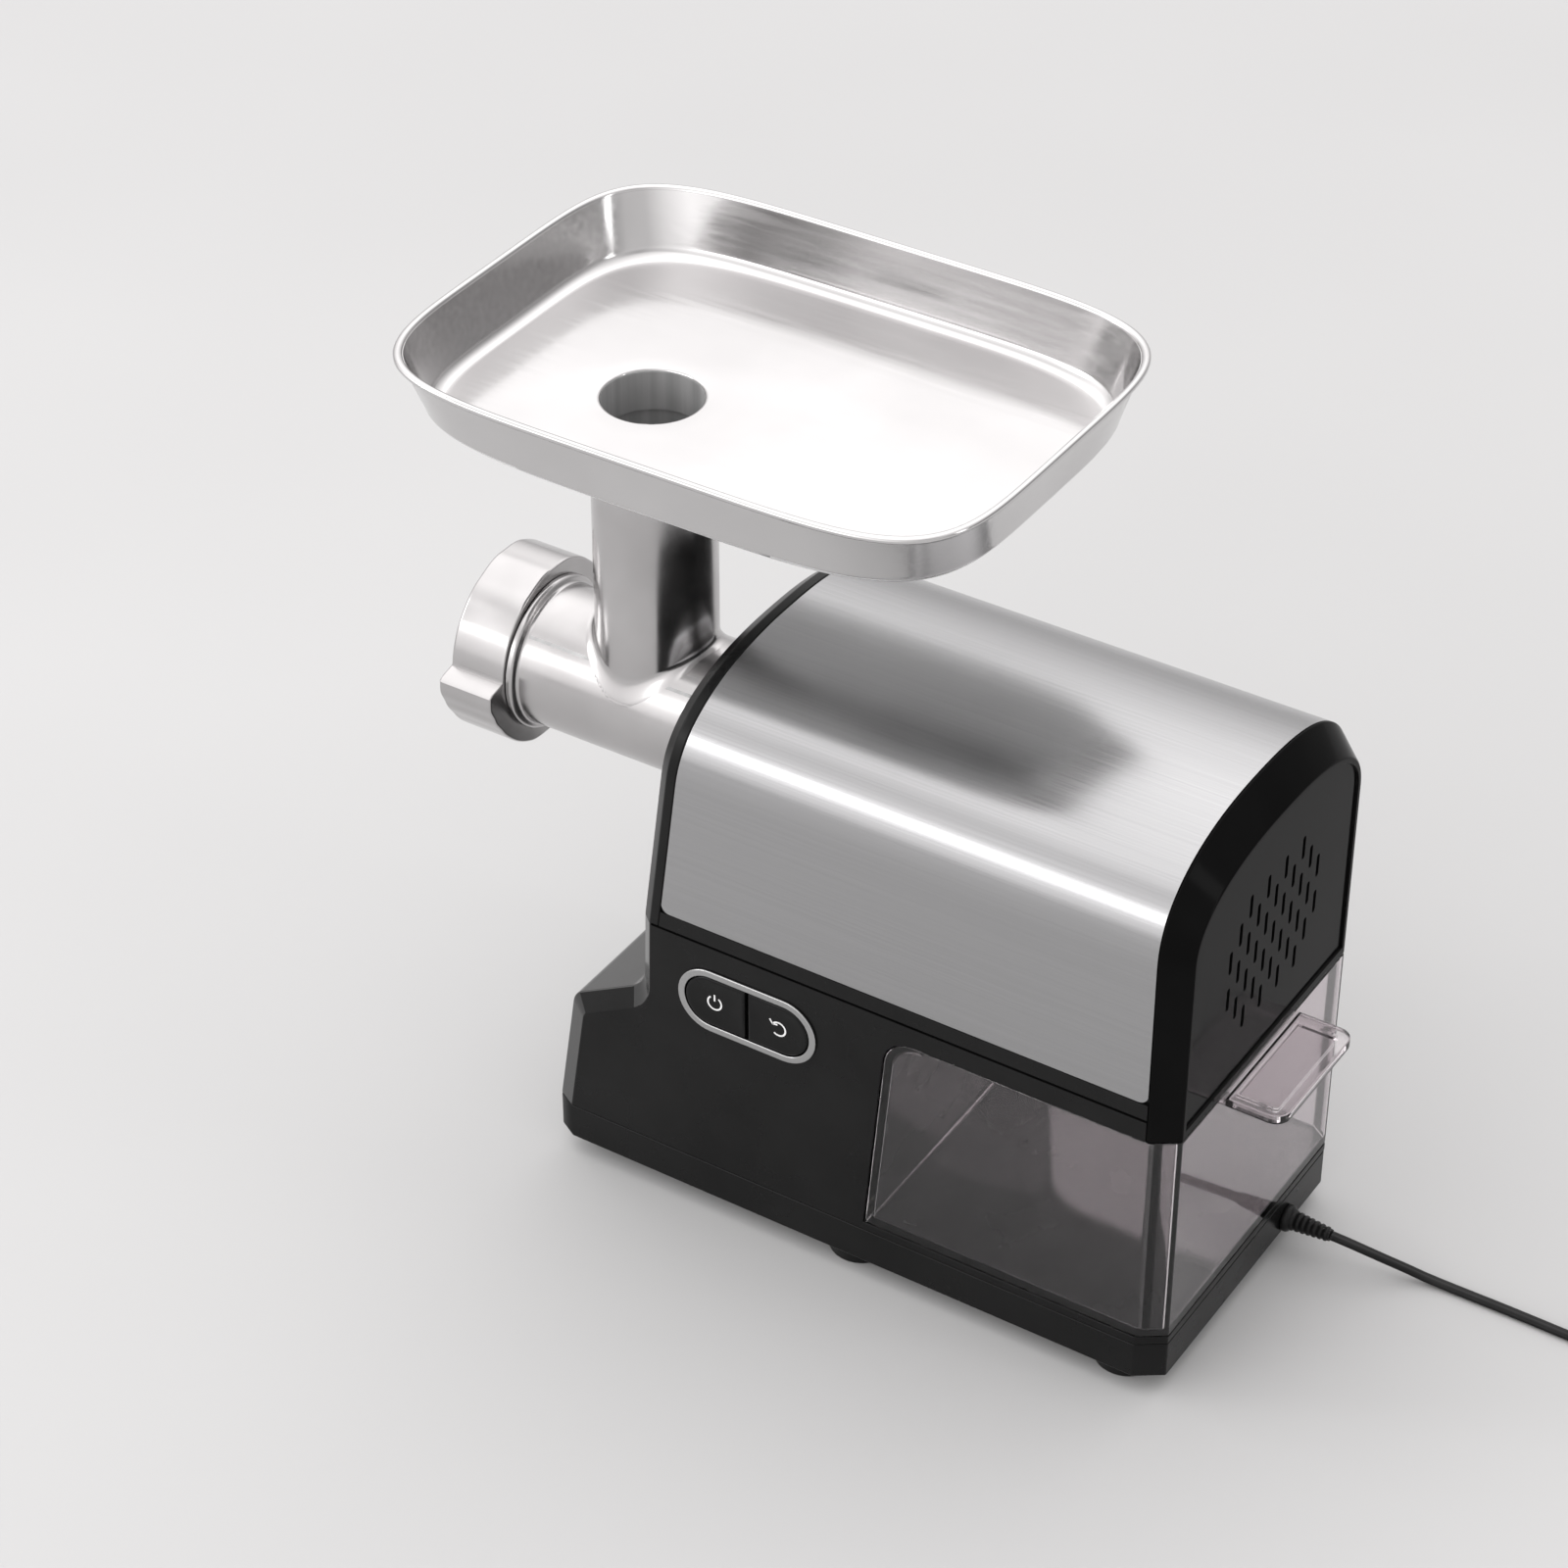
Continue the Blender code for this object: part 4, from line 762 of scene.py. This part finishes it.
def push_button(name, side):
    """Half of a stadium with a soft edge and a slightly dished face."""
    radius = 0.0124
    flat = 0.0306 - radius

    def half(inset):
        r = radius - inset
        inner = BUTTON_CENTRE[0] + side * (0.0008 + inset)
        arc = [(BUTTON_CENTRE[0] + side * (flat + r * cos(t)), BUTTON_CENTRE[1] + r * sin(t))
               for t in (pi * (k / 32 - 0.5) for k in range(33))]
        top, low = BUTTON_CENTRE[1] + r, BUTTON_CENTRE[1] - r
        return arc + [(inner, top), (inner, (top + low) / 2), (inner, low)]

    stations = [(0, -0.0700), (0, -0.0804), (0.0001, -0.0807), (0.0004, -0.08105), (0.0008, -0.0812),
                (0.0016, -0.0812), (0.0040, -0.0809), (0.0080, -0.0807)]
    piece = solid(name + "_cap", loft([along_y(half(inset), y) for inset, y in stations]), BLACK)
    shown(settle(piece, 60), name, "black_plastic", name)


def stroke(points):
    """A thin flat line of print through the (x, z) points, standing a hair proud of a button."""
    front = BUTTON_SIGN_Y - 0.00006
    rings = []
    for i, (x, z) in enumerate(points):
        ax, az = points[max(i - 1, 0)]
        bx, bz = points[min(i + 1, len(points) - 1)]
        half = SIGN_STROKE / 2 / hypot(bx - ax, bz - az)
        nx, nz = -(bz - az) * half, (bx - ax) * half
        rings.append([(x + nx, BUTTON_SIGN_Y, z + nz), (x - nx, BUTTON_SIGN_Y, z - nz),
                      (x - nx, front, z - nz), (x + nx, front, z + nz)])
    return loft(rings)


def arc(centre, radius, begin, end, steps=28):
    out = []
    for k in range(steps + 1):
        angle = radians(begin + (end - begin) * k / steps)
        out.append((centre[0] + radius * cos(angle), centre[1] + radius * sin(angle)))
    return out


def pictograms():
    """A plain standby sign on one button and a turn-back arrow on the other."""
    power = (BUTTON_CENTRE[0] - BUTTON_SIGN_X, BUTTON_CENTRE[1])
    bar = [(power[0], power[1] + 0.0010), (power[0], power[1] + 0.0044)]
    sign = [stroke(arc(power, SIGN_R, 125, 415)), stroke(bar)]
    shown(settle(solid("power_sign", joined(sign), PRINT)), "power_button", "black_plastic")
    back = (BUTTON_CENTRE[0] + BUTTON_SIGN_X, BUTTON_CENTRE[1])
    bow = arc(back, SIGN_R, 150, -130)
    tip = bow[0]
    head = [(tip[0] - 0.0014, tip[1] + 0.0022), tip, (tip[0] + 0.0024, tip[1] + 0.0004)]
    arrow = [stroke(bow), stroke(head)]
    shown(settle(solid("reverse_sign", joined(arrow), PRINT)), "reverse_button", "black_plastic")


def release_button():
    front = FRONT_X + RAKE * (RELEASE_YZ[1] - SEAM_Z)
    profile = [(front - 0.0040, 0.0050), (front - 0.0045, 0.0062), (front - 0.0044, 0.0070),
               (front - 0.0040, 0.0075), (front - 0.0033, 0.0078), (front + 0.0050, 0.0078),
               (front + 0.0050, 0.0040), (front + 0.0130, 0.0040)]
    piece = solid("release_plunger", turned(profile, "x", RELEASE_YZ, 48), GLOSS)
    shown(settle(piece), "head_release_button", "gloss_black", "head_release_button")


# ---- grinding head -------------------------------------------------------------------------------
def saddle_height(y, radius):
    """Height of a cylinder of this radius round the head's axis, this far to the side."""
    return AXIS_Z + sqrt(radius ** 2 - y ** 2)


def head_casting():
    """Barrel with its bead, and the neck flowing into it through a fillet."""
    profile = [(BARREL_FRONT_X, 0.0330), (BARREL_FRONT_X + 0.0006, THREAD_R)]
    x = BARREL_FRONT_X + 0.0030
    thread_end, pitch = -0.2080, 0.0036
    while x < thread_end:
        profile += [(x, THREAD_R), (x + 0.0008, THREAD_R - 0.0008), (x + 0.0018, THREAD_R - 0.0008),
                    (x + 0.0026, THREAD_R)]
        x += pitch
    profile += [(-0.2056, THREAD_R), (-0.2050, 0.0347), (-0.2044, BEAD_R), (-0.2030, BEAD_R),
                (-0.2021, 0.0350), (-0.2014, 0.0341), (-0.2011, 0.0331), (-0.2005, 0.0325),
                (-0.1994, BARREL_R), (BARREL_REAR_X - 0.0008, BARREL_R), (BARREL_REAR_X, 0.0314)]
    tail_bore, tail_wall_x = 0.0100, -0.1120
    bore = [(BARREL_REAR_X, tail_bore), (tail_wall_x, tail_bore), (tail_wall_x, BARREL_BORE_R),
            (PLATE_SEAT_X, BARREL_BORE_R), (PLATE_SEAT_X, PLATE_R + GAP), (BARREL_FRONT_X, PLATE_R + GAP)]
    barrel = solid("barrel_and_neck", turned(profile + bore, "x", (0, AXIS_Z), 128, True), ALLOY)
    combine(barrel, "DIFFERENCE",
            rod("z", (NECK_X, 0), NECK_BORE_R + 0.0006, AXIS_Z + 0.012, NECK_TOP_Z, 96))
    cut = applied(barrel)
    neck = solid("neck", neck_shell(), ALLOY)
    work = bmesh.new()
    work.from_mesh(cut)
    work.from_mesh(neck.data)
    work.to_mesh(cut)
    work.free()
    bpy.data.objects.remove(neck)
    barrel.data = cut
    shown(settle(barrel), "head", "polished_alloy", "grinder_head", "feed_neck")
    dull_inside(barrel, NECK_BORE_R + 0.0008)


def neck_shell():
    """The neck's tube, its foot draped over the barrel and flared out to meet it."""
    steps = 128
    fillet = 0.0040
    angles = [2 * pi * i / steps for i in range(steps)]

    def level(radius, z):
        return [(NECK_X + radius * cos(t), radius * sin(t), z) for t in angles]

    def draped(radius, over, rise):
        return [(NECK_X + radius * cos(t), radius * sin(t),
                 saddle_height(radius * sin(t), over) + rise) for t in angles]

    rings = [draped(NECK_BORE_R, BARREL_BORE_R, -0.0003), level(NECK_BORE_R, NECK_TOP_Z - 0.0010),
             level(NECK_BORE_R + 0.0010, NECK_TOP_Z), level(NECK_R - 0.0006, NECK_TOP_Z),
             level(NECK_R, NECK_TOP_Z - 0.0006), level(NECK_R, 0.300)]
    for k in range(9):
        angle = pi / 2 * k / 8
        radius = NECK_R + fillet * (1 - cos(angle))
        rings.append(draped(radius, BARREL_R, fillet * (1 - sin(angle))))
    rings.append(draped(NECK_R + fillet, BARREL_R, -0.0008))
    return loft(rings, closed=True)


def eased(share):
    """A share from 0 to 1, slow at both ends."""
    return share * share * (3 - 2 * share)


def nut_radius(degrees):
    """Round nut with two wings: each rises in a step, holds its height and fades out."""
    wing = [(0, 0.0), (5, 0.96), (11, 1.0), (22, 0.84), (36, 0.70), (52, 0.64), (70, 0.60), (92, 0.40),
            (118, 0.18), (146, 0.04), (165, 0.0), (180, 0.0)]
    first_step = 175
    at = (degrees - first_step) % 180
    for (a, low), (b, high) in zip(wing, wing[1:]):
        if at <= b:
            share = low + (high - low) * eased((at - a) / (b - a))
            return NUT_BASE_R + share * (NUT_EAR_R - NUT_BASE_R)
    return NUT_BASE_R


def winged_nut():
    """The ring nut, with soft edges, its thread's bore and the smaller mouth in front of the plate."""
    steps = 240
    angles = [360 * i / steps for i in range(steps)]

    def outside(x, inset):
        return [(x, (nut_radius(a) - inset) * cos(radians(a)),
                 AXIS_Z + (nut_radius(a) - inset) * sin(radians(a))) for a in angles]

    def inside(x, radius):
        return [(x, radius * cos(radians(a)), AXIS_Z + radius * sin(radians(a)))
                for a in angles]

    front, rear, face_x = NUT_FRONT_X, NUT_REAR_X, -0.2299
    bore, mouth = THREAD_R + 0.0004, 0.0275
    outer = [(front, 0.0016), (front + 0.0002, 0.0009), (front + 0.0007, 0.0003), (front + 0.0016, 0),
             (rear - 0.0012, 0), (rear - 0.0005, 0.0002), (rear - 0.0001, 0.0006), (rear, 0.0010)]
    inner = [(rear, 0.0352), (rear - 0.0008, 0.0347), (rear - 0.0012, bore), (face_x, bore), (face_x, mouth),
             (front + 0.0006, mouth), (front + 0.0001, mouth + 0.0005), (front, mouth + 0.0009)]
    rings = [outside(x, inset) for x, inset in outer] + [inside(x, radius) for x, radius in inner]
    piece = solid("winged_nut", loft(rings, closed=True), ALLOY)
    shown(settle(piece), "nut", "polished_alloy", "ring_nut")


def plate():
    """The grinding plate, with three rings of holes round its centre hole."""
    piece = solid("hole_plate", rod("x", (0, AXIS_Z), PLATE_R, PLATE_FRONT_X, PLATE_REAR_X, 96), CAST)
    bevel(piece, 0.0005, 2, 40)
    through = (-0.24, -0.21)
    holes = []
    for count, radius, start in ((6, 0.0105, 0), (12, 0.0180, 0.13), (18, 0.0255, 0)):
        for y, z in moved(circle(radius, count, start), (0, AXIS_Z)):
            holes.append(rod("x", (y, z), 0.0026, *through, 24))
    combine(piece, "DIFFERENCE", rod("x", (0, AXIS_Z), 0.0047, *through, 32), joined(holes))
    shown(settle(piece), "plate", "cast_alloy", "grinding_plate")


def screw_auger():
    """The screw's flight wound round its core, with a square tail and a square stub for the knife."""
    front, rear = -0.2158, -0.1180
    turns = 2.75
    steps = 180
    root, tip, half = 0.008, 0.0264, 0.0022
    section = ((-1.6, root), (-1.0, root + 0.006), (-0.7, tip - 0.0008), (-0.45, tip), (0.45, tip),
               (0.7, tip - 0.0008), (1.0, root + 0.006), (1.6, root))
    rings = []
    for i in range(steps + 1):
        share = i / steps
        x = front + half + (rear - front - 2 * half) * share
        angle = 2 * pi * turns * share
        rings.append([(x + half * a, r * cos(angle), AXIS_Z + r * sin(angle)) for a, r in section])
    core = [(-0.2285, 0.0036), (-0.2281, 0.0043), (-0.2174, 0.0043), (-0.2174, 0.0104), (-0.2168, 0.0110),
            (-0.1185, 0.0125), (-0.1150, 0.0125), (-0.1150, 0.0094), (-0.1000, 0.0094), (-0.0995, 0.0088)]
    tail = prism(moved(circle(0.0076, 4, pi / 4), (0, AXIS_Z)), "x", -0.1005, -0.0860)
    stub = prism(moved(circle(0.0062, 4, pi / 4), (0, AXIS_Z)), "x", -0.2220, -0.2170)
    piece = solid("screw_auger", loft(rings), CAST)
    combine(piece, "UNION", turned(core, "x", (0, AXIS_Z), 64), tail, stub)
    shown(settle(piece), "auger", "cast_alloy", "auger")


def tray():
    """One pressed sheet with a rolled rim, a soft fillet to its floor and a spout into the neck."""
    steps = 320
    cx, cy = TRAY_CENTRE

    def wall(inset, power):
        outline = superellipse(TRAY_HALF[0] - inset, TRAY_HALF[1] - inset, power, steps)
        return [(a + cx, b + cy) for a, b in outline]

    aims = [atan2(b, a - NECK_X) for a, b in wall(0.012, 4.4)]

    def spout(radius):
        return [(NECK_X + radius * cos(t), radius * sin(t)) for t in aims]

    floor = TRAY_FLOOR_Z
    under = floor - TRAY_SHEET
    foot_z = NECK_TOP_Z - 0.018
    lip = 0.0016
    inner_foot, outer_foot = 0.0085, 0.0073
    sweep = 0.0058
    flat_edge = wall(0.0240, 4.0)
    quarter = [pi / 2 * k / 8 for k in range(9)]
    upper = [(0, foot_z), (0, floor - 0.0020), (0.0002, floor - 0.0010), (0.0008, floor - 0.0002),
             (0.0018, floor), (0.0100, floor)]
    lower = [(0.0032, under), (0.0018, under - 0.0004), (0.0010, under - 0.0012), (0.0010, foot_z)]
    rings = [along_z(spout(HOLE_R + wider), z) for wider, z in upper] + [along_z(flat_edge, floor)]
    for k, angle in enumerate(quarter):
        inset = inner_foot + sweep * (1 - sin(angle))
        rings.append(along_z(wall(inset, 4.2 + 0.05 * k), floor + sweep * (1 - cos(angle))))
    rings.append(along_z(wall(2 * lip + 0.0002, 5.2), TRAY_RIM_Z - lip))
    for k in range(9):
        angle = pi * (1 - k / 8 * 1.25)
        inset = lip - lip * cos(angle)
        rings.append(along_z(wall(inset, 5.2), TRAY_RIM_Z - lip + lip * sin(angle)))
    rings.append(along_z(wall(2 * lip - 0.0006, 5.2), TRAY_RIM_Z - 2 * lip - 0.0002))
    for k, angle in enumerate(reversed(quarter)):
        inset = outer_foot + sweep * (1 - sin(angle))
        z = under + 0.0006 + sweep * (1 - cos(angle))
        rings.append(along_z(wall(inset, 4.6 - 0.05 * k), z))
    rings.append(along_z(flat_edge, under))
    rings += [along_z(spout(HOLE_R + wider), z) for wider, z in lower]
    piece = solid("pressed_tray", loft(rings, closed=True), SHEET)
    shown(settle(piece, 60), "tray", "polished_steel", "feed_tray")
    dull_inside(piece, HOLE_R + 0.0004)
    # Painted light: the downward faces take the lighter satin colour, which brightens the tray's shaded
    # underside.
    refaced(piece, SATIN_UNDERSIDE_PAINTED_LIGHT, lambda centre, normal: normal.z < -0.5 and centre.z < TRAY_RIM_Z - 0.006)


# ---- storage drawer ------------------------------------------------------------------------------
def drawer():
    """The clear box with soft edges inside and out, and its finger pull."""
    def box_side(inset, top):
        line = bay_line(0.0006 + inset, DRAWER_Z + inset)
        lowered = [(x, z - inset - GAP * (z > DRAWER_TOP_Z - 0.001)) for x, z in line[1:-1]]
        rear = REAR_X - inset
        lip = [(line[-2][0] + 0.002, top)] if inset else []
        return [(rear, DRAWER_Z + inset), line[0]] + lowered + lip + [(rear, top if inset else DRAWER_TOP_Z)]

    half = BODY_HALF - GAP
    piece = solid("clear_drawer", prism(box_side(0, 0), "y", -half, half), CLEAR)
    hollow = solid("hollow", prism(box_side(DRAWER_WALL, DRAWER_TOP_Z + 0.02), "y",
                                   -half + DRAWER_WALL, half - DRAWER_WALL), CLEAR)
    combine(hollow, "DIFFERENCE", *rear_corners(0.02, 0.17, 0.0022))
    bevel(hollow, 0.0016, 4, 40)
    room = applied(hollow)
    shape = ([v.co - HOME for v in room.vertices], [tuple(f.vertices) for f in room.polygons])
    bpy.data.objects.remove(hollow)
    combine(piece, "DIFFERENCE", *rear_corners(0.02, 0.17))
    bevel(piece, 0.0007, 3, 30)
    combine(piece, "DIFFERENCE", shape)
    combine(piece, "UNION", finger_pull())
    combine(piece, "DIFFERENCE", *pull_recesses())
    shown(settle(piece, 35), "drawer", "clear_plastic", "storage_drawer")


def pull_outline(inset, inside):
    """Plan of the finger pull, this far inside its edge, from the X of its root out."""
    reach = REAR_X + PULL_REACH - inset
    middle = -0.0015
    half = 0.0330 - inset
    return rounded([(inside, middle - half, 0), (reach, middle - half, 0.007 - inset),
                    (reach, middle + half, 0.007 - inset), (inside, middle + half, 0)], 10)


def finger_pull():
    """The lip behind the rear wall, with soft upper and lower edges."""
    levels = ((0.0006, 0.1300), (0.0001, 0.1303), (0, 0.1310), (0, 0.1336), (0.0001, 0.1342),
              (0.0006, 0.1345))
    return loft([along_z(pull_outline(inset, REAR_X - 0.001), z) for inset, z in levels])


def pull_recesses():
    """The web inside the lip's bead is thinner than the bead, above and below."""
    web = pull_outline(0.0052, REAR_X + 0.0020)
    return [prism(web, "z", low, high) for low, high in ((0.1331, 0.140), (0.120, 0.1314))]


# ---- cord ----------------------------------------------------------------------------------------
CORD_ROUTE = [(0.1723, 0.0365, 0.0160), (0.1800, 0.0371, 0.0153), (0.1885, 0.0392, 0.0130),
              (0.1965, 0.0423, 0.0098), (0.2045, 0.0455, 0.0066), (0.2130, 0.0478, 0.0040),
              (0.2230, 0.0489, 0.0029), (0.2350, 0.0492, 0.0027), (0.2500, 0.0493, 0.0027),
              (0.2650, 0.0492, 0.0027), (0.2820, 0.0490, 0.0027), (0.2990, 0.0490, 0.0027)]
LAYER = 2 * CORD_HALF_THICK + 0.0002
# Radius and layer at the start of each turn of the coil.
TURNS = [(0.0312, 0), (0.0260, 0), (0.0260, 1), (0.0312, 1), (0.0262, 2), (0.0318, 2)]


def smooth_route(points, parts):
    """Points along a Catmull-Rom curve through the route."""
    out = []
    padded = [points[0]] + points + [points[-1]]
    for i in range(1, len(padded) - 2):
        a, b, c, d = padded[i - 1:i + 3]
        for k in range(parts):
            t = k / parts
            out.append(tuple(
                0.5 * (2 * b[j] + (c[j] - a[j]) * t + (2 * a[j] - 5 * b[j] + 4 * c[j] - d[j]) * t * t
                       + (3 * b[j] - a[j] - 3 * c[j] + d[j]) * t ** 3) for j in range(3)))
    return out + [points[-1]]


def cord_line():
    """The whole cord: its free run, just over five turns of the coil, and the way out to the plug."""
    lowest = CORD_HALF_THICK + 0.0001
    top, foot = CORD_ROUTE[0][2], CORD_ROUTE[-1][2]
    run = [(x, y, z - (foot - lowest) * (top - z) / (top - foot)) for x, y, z in CORD_ROUTE]
    cx, cy = COIL_CENTRE
    per_turn = 36
    coil = []
    for i in range(5 * per_turn + per_turn // 4 + 1):
        turn = i / per_turn
        now = min(int(turn), len(TURNS) - 1)
        after = min(now + 1, len(TURNS) - 1)
        share = eased(max(0, (turn - now - 0.72) / 0.28)) if now < 5 else 0
        radius = TURNS[now][0] + (TURNS[after][0] - TURNS[now][0]) * share
        z = lowest + LAYER * (TURNS[now][1] + (TURNS[after][1] - TURNS[now][1]) * share)
        leaving = max(0, (turn - 4.70) / 0.55)
        radius += 0.0062 * leaving ** 2
        z += (PLUG_AT[2] - z) * eased(min(1, leaving))
        angle = -pi / 2 + 2 * pi * turn
        coil.append((cx + radius * cos(angle), cy + radius * sin(angle), z))
    tail = (PLUG_AT[0], PLUG_AT[1] - 0.020, PLUG_AT[2])
    return smooth_route(run + coil[::2] + [tail], 4)


def flat_twin(line):
    """Skin of a figure-eight section swept along the line, lying flat."""
    lobe = CORD_HALF_WIDE - CORD_HALF_THICK
    section = []
    for side, first in ((1, -120), (-1, 60)):
        for k in range(9):
            angle = radians(first + 30 * k)
            section.append((side * lobe + CORD_HALF_THICK * cos(angle),
                            CORD_HALF_THICK * sin(angle)))
    rings = []
    for i, point in enumerate(line):
        ahead = Vector(line[min(i + 1, len(line) - 1)]) - Vector(line[max(i - 1, 0)])
        across = ahead.cross(Vector((0, 0, 1))).normalized()
        over = across.cross(ahead).normalized()
        rings.append([tuple(Vector(point) + across * a + over * b) for a, b in section])
    return loft(rings)


def power_cord():
    """The cord, with its tie and plug made as pieces of their own."""
    line = cord_line()
    cable = solid("flat_power_cord", flat_twin(line), RUBBER)
    shown(settle(cable, 70), "housing", "rubber", "power_cord", "cord_coil")
    tie = cord_tie()
    body, pins = plug()


def strain_relief():
    """Tapered boot with soft ribs."""
    y, z = CORD_EXIT[1:]
    start, end = REAR_X + 0.0036, CORD_EXIT[0] - GAP
    inside_x = 0.1340
    profile = [(inside_x, 0.0034), (inside_x, 0.0042), (REAR_X + GAP, 0.0042), (REAR_X + GAP, 0.0060),
               (REAR_X + 0.0008, 0.0062), (REAR_X + 0.0022, 0.0061), (REAR_X + 0.0030, 0.0056),
               (start, 0.0047)]
    ribs = 7
    pitch = (end - start) / ribs
    for k in range(ribs):
        thick = 0.0047 - 0.0016 * k / ribs
        for part, thinner in ((0.10, 0), (0.45, 0.0001), (0.60, 0.0006), (0.95, 0.0006)):
            profile.append((start + pitch * (k + part), thick - thinner))
    profile += [(end, 0.0027)]
    piece = solid("ribbed_boot", turned(profile, "x", (y, z), 48), RUBBER)
    shown(settle(piece, 50), "housing", "rubber", "strain_relief")


def cord_tie():
    """Soft strap round the bundle on the coil's far side."""
    cx, cy = COIL_CENTRE
    middle = (cy + COIL_R, 0.0052)
    rings = []
    for x, half_y, half_z in ((-0.0030, 0.0058, 0.0048), (-0.0030, 0.0064, 0.0051), (-0.0026, 0.0066, 0.0052),
                              (0.0026, 0.0066, 0.0052), (0.0030, 0.0064, 0.0051), (0.0030, 0.0058, 0.0048)):
        rings.append(along_x(moved(superellipse(half_y, half_z, 6, 48), middle), cx + x))
    piece = solid("soft_tie", loft(rings, closed=True), BLACK)
    return shown(settle(piece), "housing", "black_plastic", "cord_tie")


def plug():
    """Two-pin plug: a moulded body with grip lines, and two round pins."""
    px, py, pz = PLUG_AT
    sections = [(-0.0200, 0.0028, 0.0022), (-0.0199, 0.0034, 0.0028), (-0.0150, 0.0038, 0.0034)]
    sections += [(-0.0120, 0.0046, 0.0042), (-0.0085, 0.0066, 0.0054), (-0.0060, 0.0085, 0.0062)]
    for k in range(4):
        y = -0.0040 + 0.0030 * k
        wide = 0.0092 + 0.0010 * k
        sections += [(y, wide, 0.0066), (y + 0.0010, wide + 0.0001, 0.0066),
                     (y + 0.0014, wide - 0.0004, 0.0062), (y + 0.0022, wide - 0.0003, 0.0062)]
    sections += [(0.0085, 0.0126, 0.0068), (0.0136, 0.0130, 0.0070), (0.0142, 0.0128, 0.0068),
                 (0.0145, 0.0120, 0.0060)]
    rings = [along_y([(px + a, pz + b) for a, b in superellipse(half_x, half_z, 3.0, 64)], py + at)
             for at, half_x, half_z in sections]
    body = solid("moulded_plug", loft(rings), RUBBER)
    shown(settle(body, 50), "housing", "rubber", "plug_body")
    pins = []
    for name, side in (("left", -1), ("right", 1)):
        profile = [(py + 0.0148, 0.0021), (py + 0.0320, 0.0021), (py + 0.0330, 0.0018), (py + 0.0335, 0.0010)]
        pin = solid(f"round_pin_{name}", turned(profile, "y", (px + side * 0.0075, pz), 32), CAST)
        pins.append(shown(settle(pin), "housing", "cast_alloy", f"plug_pin_{name}"))
    return body, pins


# ---- carried-over nodes and the floor ------------------------------------------------------------
def dress_carried_nodes():
    """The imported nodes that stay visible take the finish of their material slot."""
    for part in frame["record"]["subparts"]:
        node = nodes[part["node"]]
        node.data.materials.clear()
        node.data.materials.append(SLOT_LOOKS[part["material_slot"]])


def floor():
    half = 4
    corners = [(-half, -half, 0), (half, -half, 0), (half, half, 0), (-half, half, 0)]
    mesh = bpy.data.meshes.new("floor")
    mesh.from_pydata(corners, [], [(0, 1, 2, 3)])
    mesh.materials.append(PALE)
    linked("floor", mesh)


camera_and_light()
dress_carried_nodes()
power_cord()
strain_relief()
steel_cover()
front_frame()
rear_cover()
lower_housing()
base_plate()
feet()
button_bezel()
push_button("power_button", -1)
push_button("reverse_button", 1)
pictograms()
release_button()
head_casting()
winged_nut()
plate()
screw_auger()
tray()
drawer()
floor()
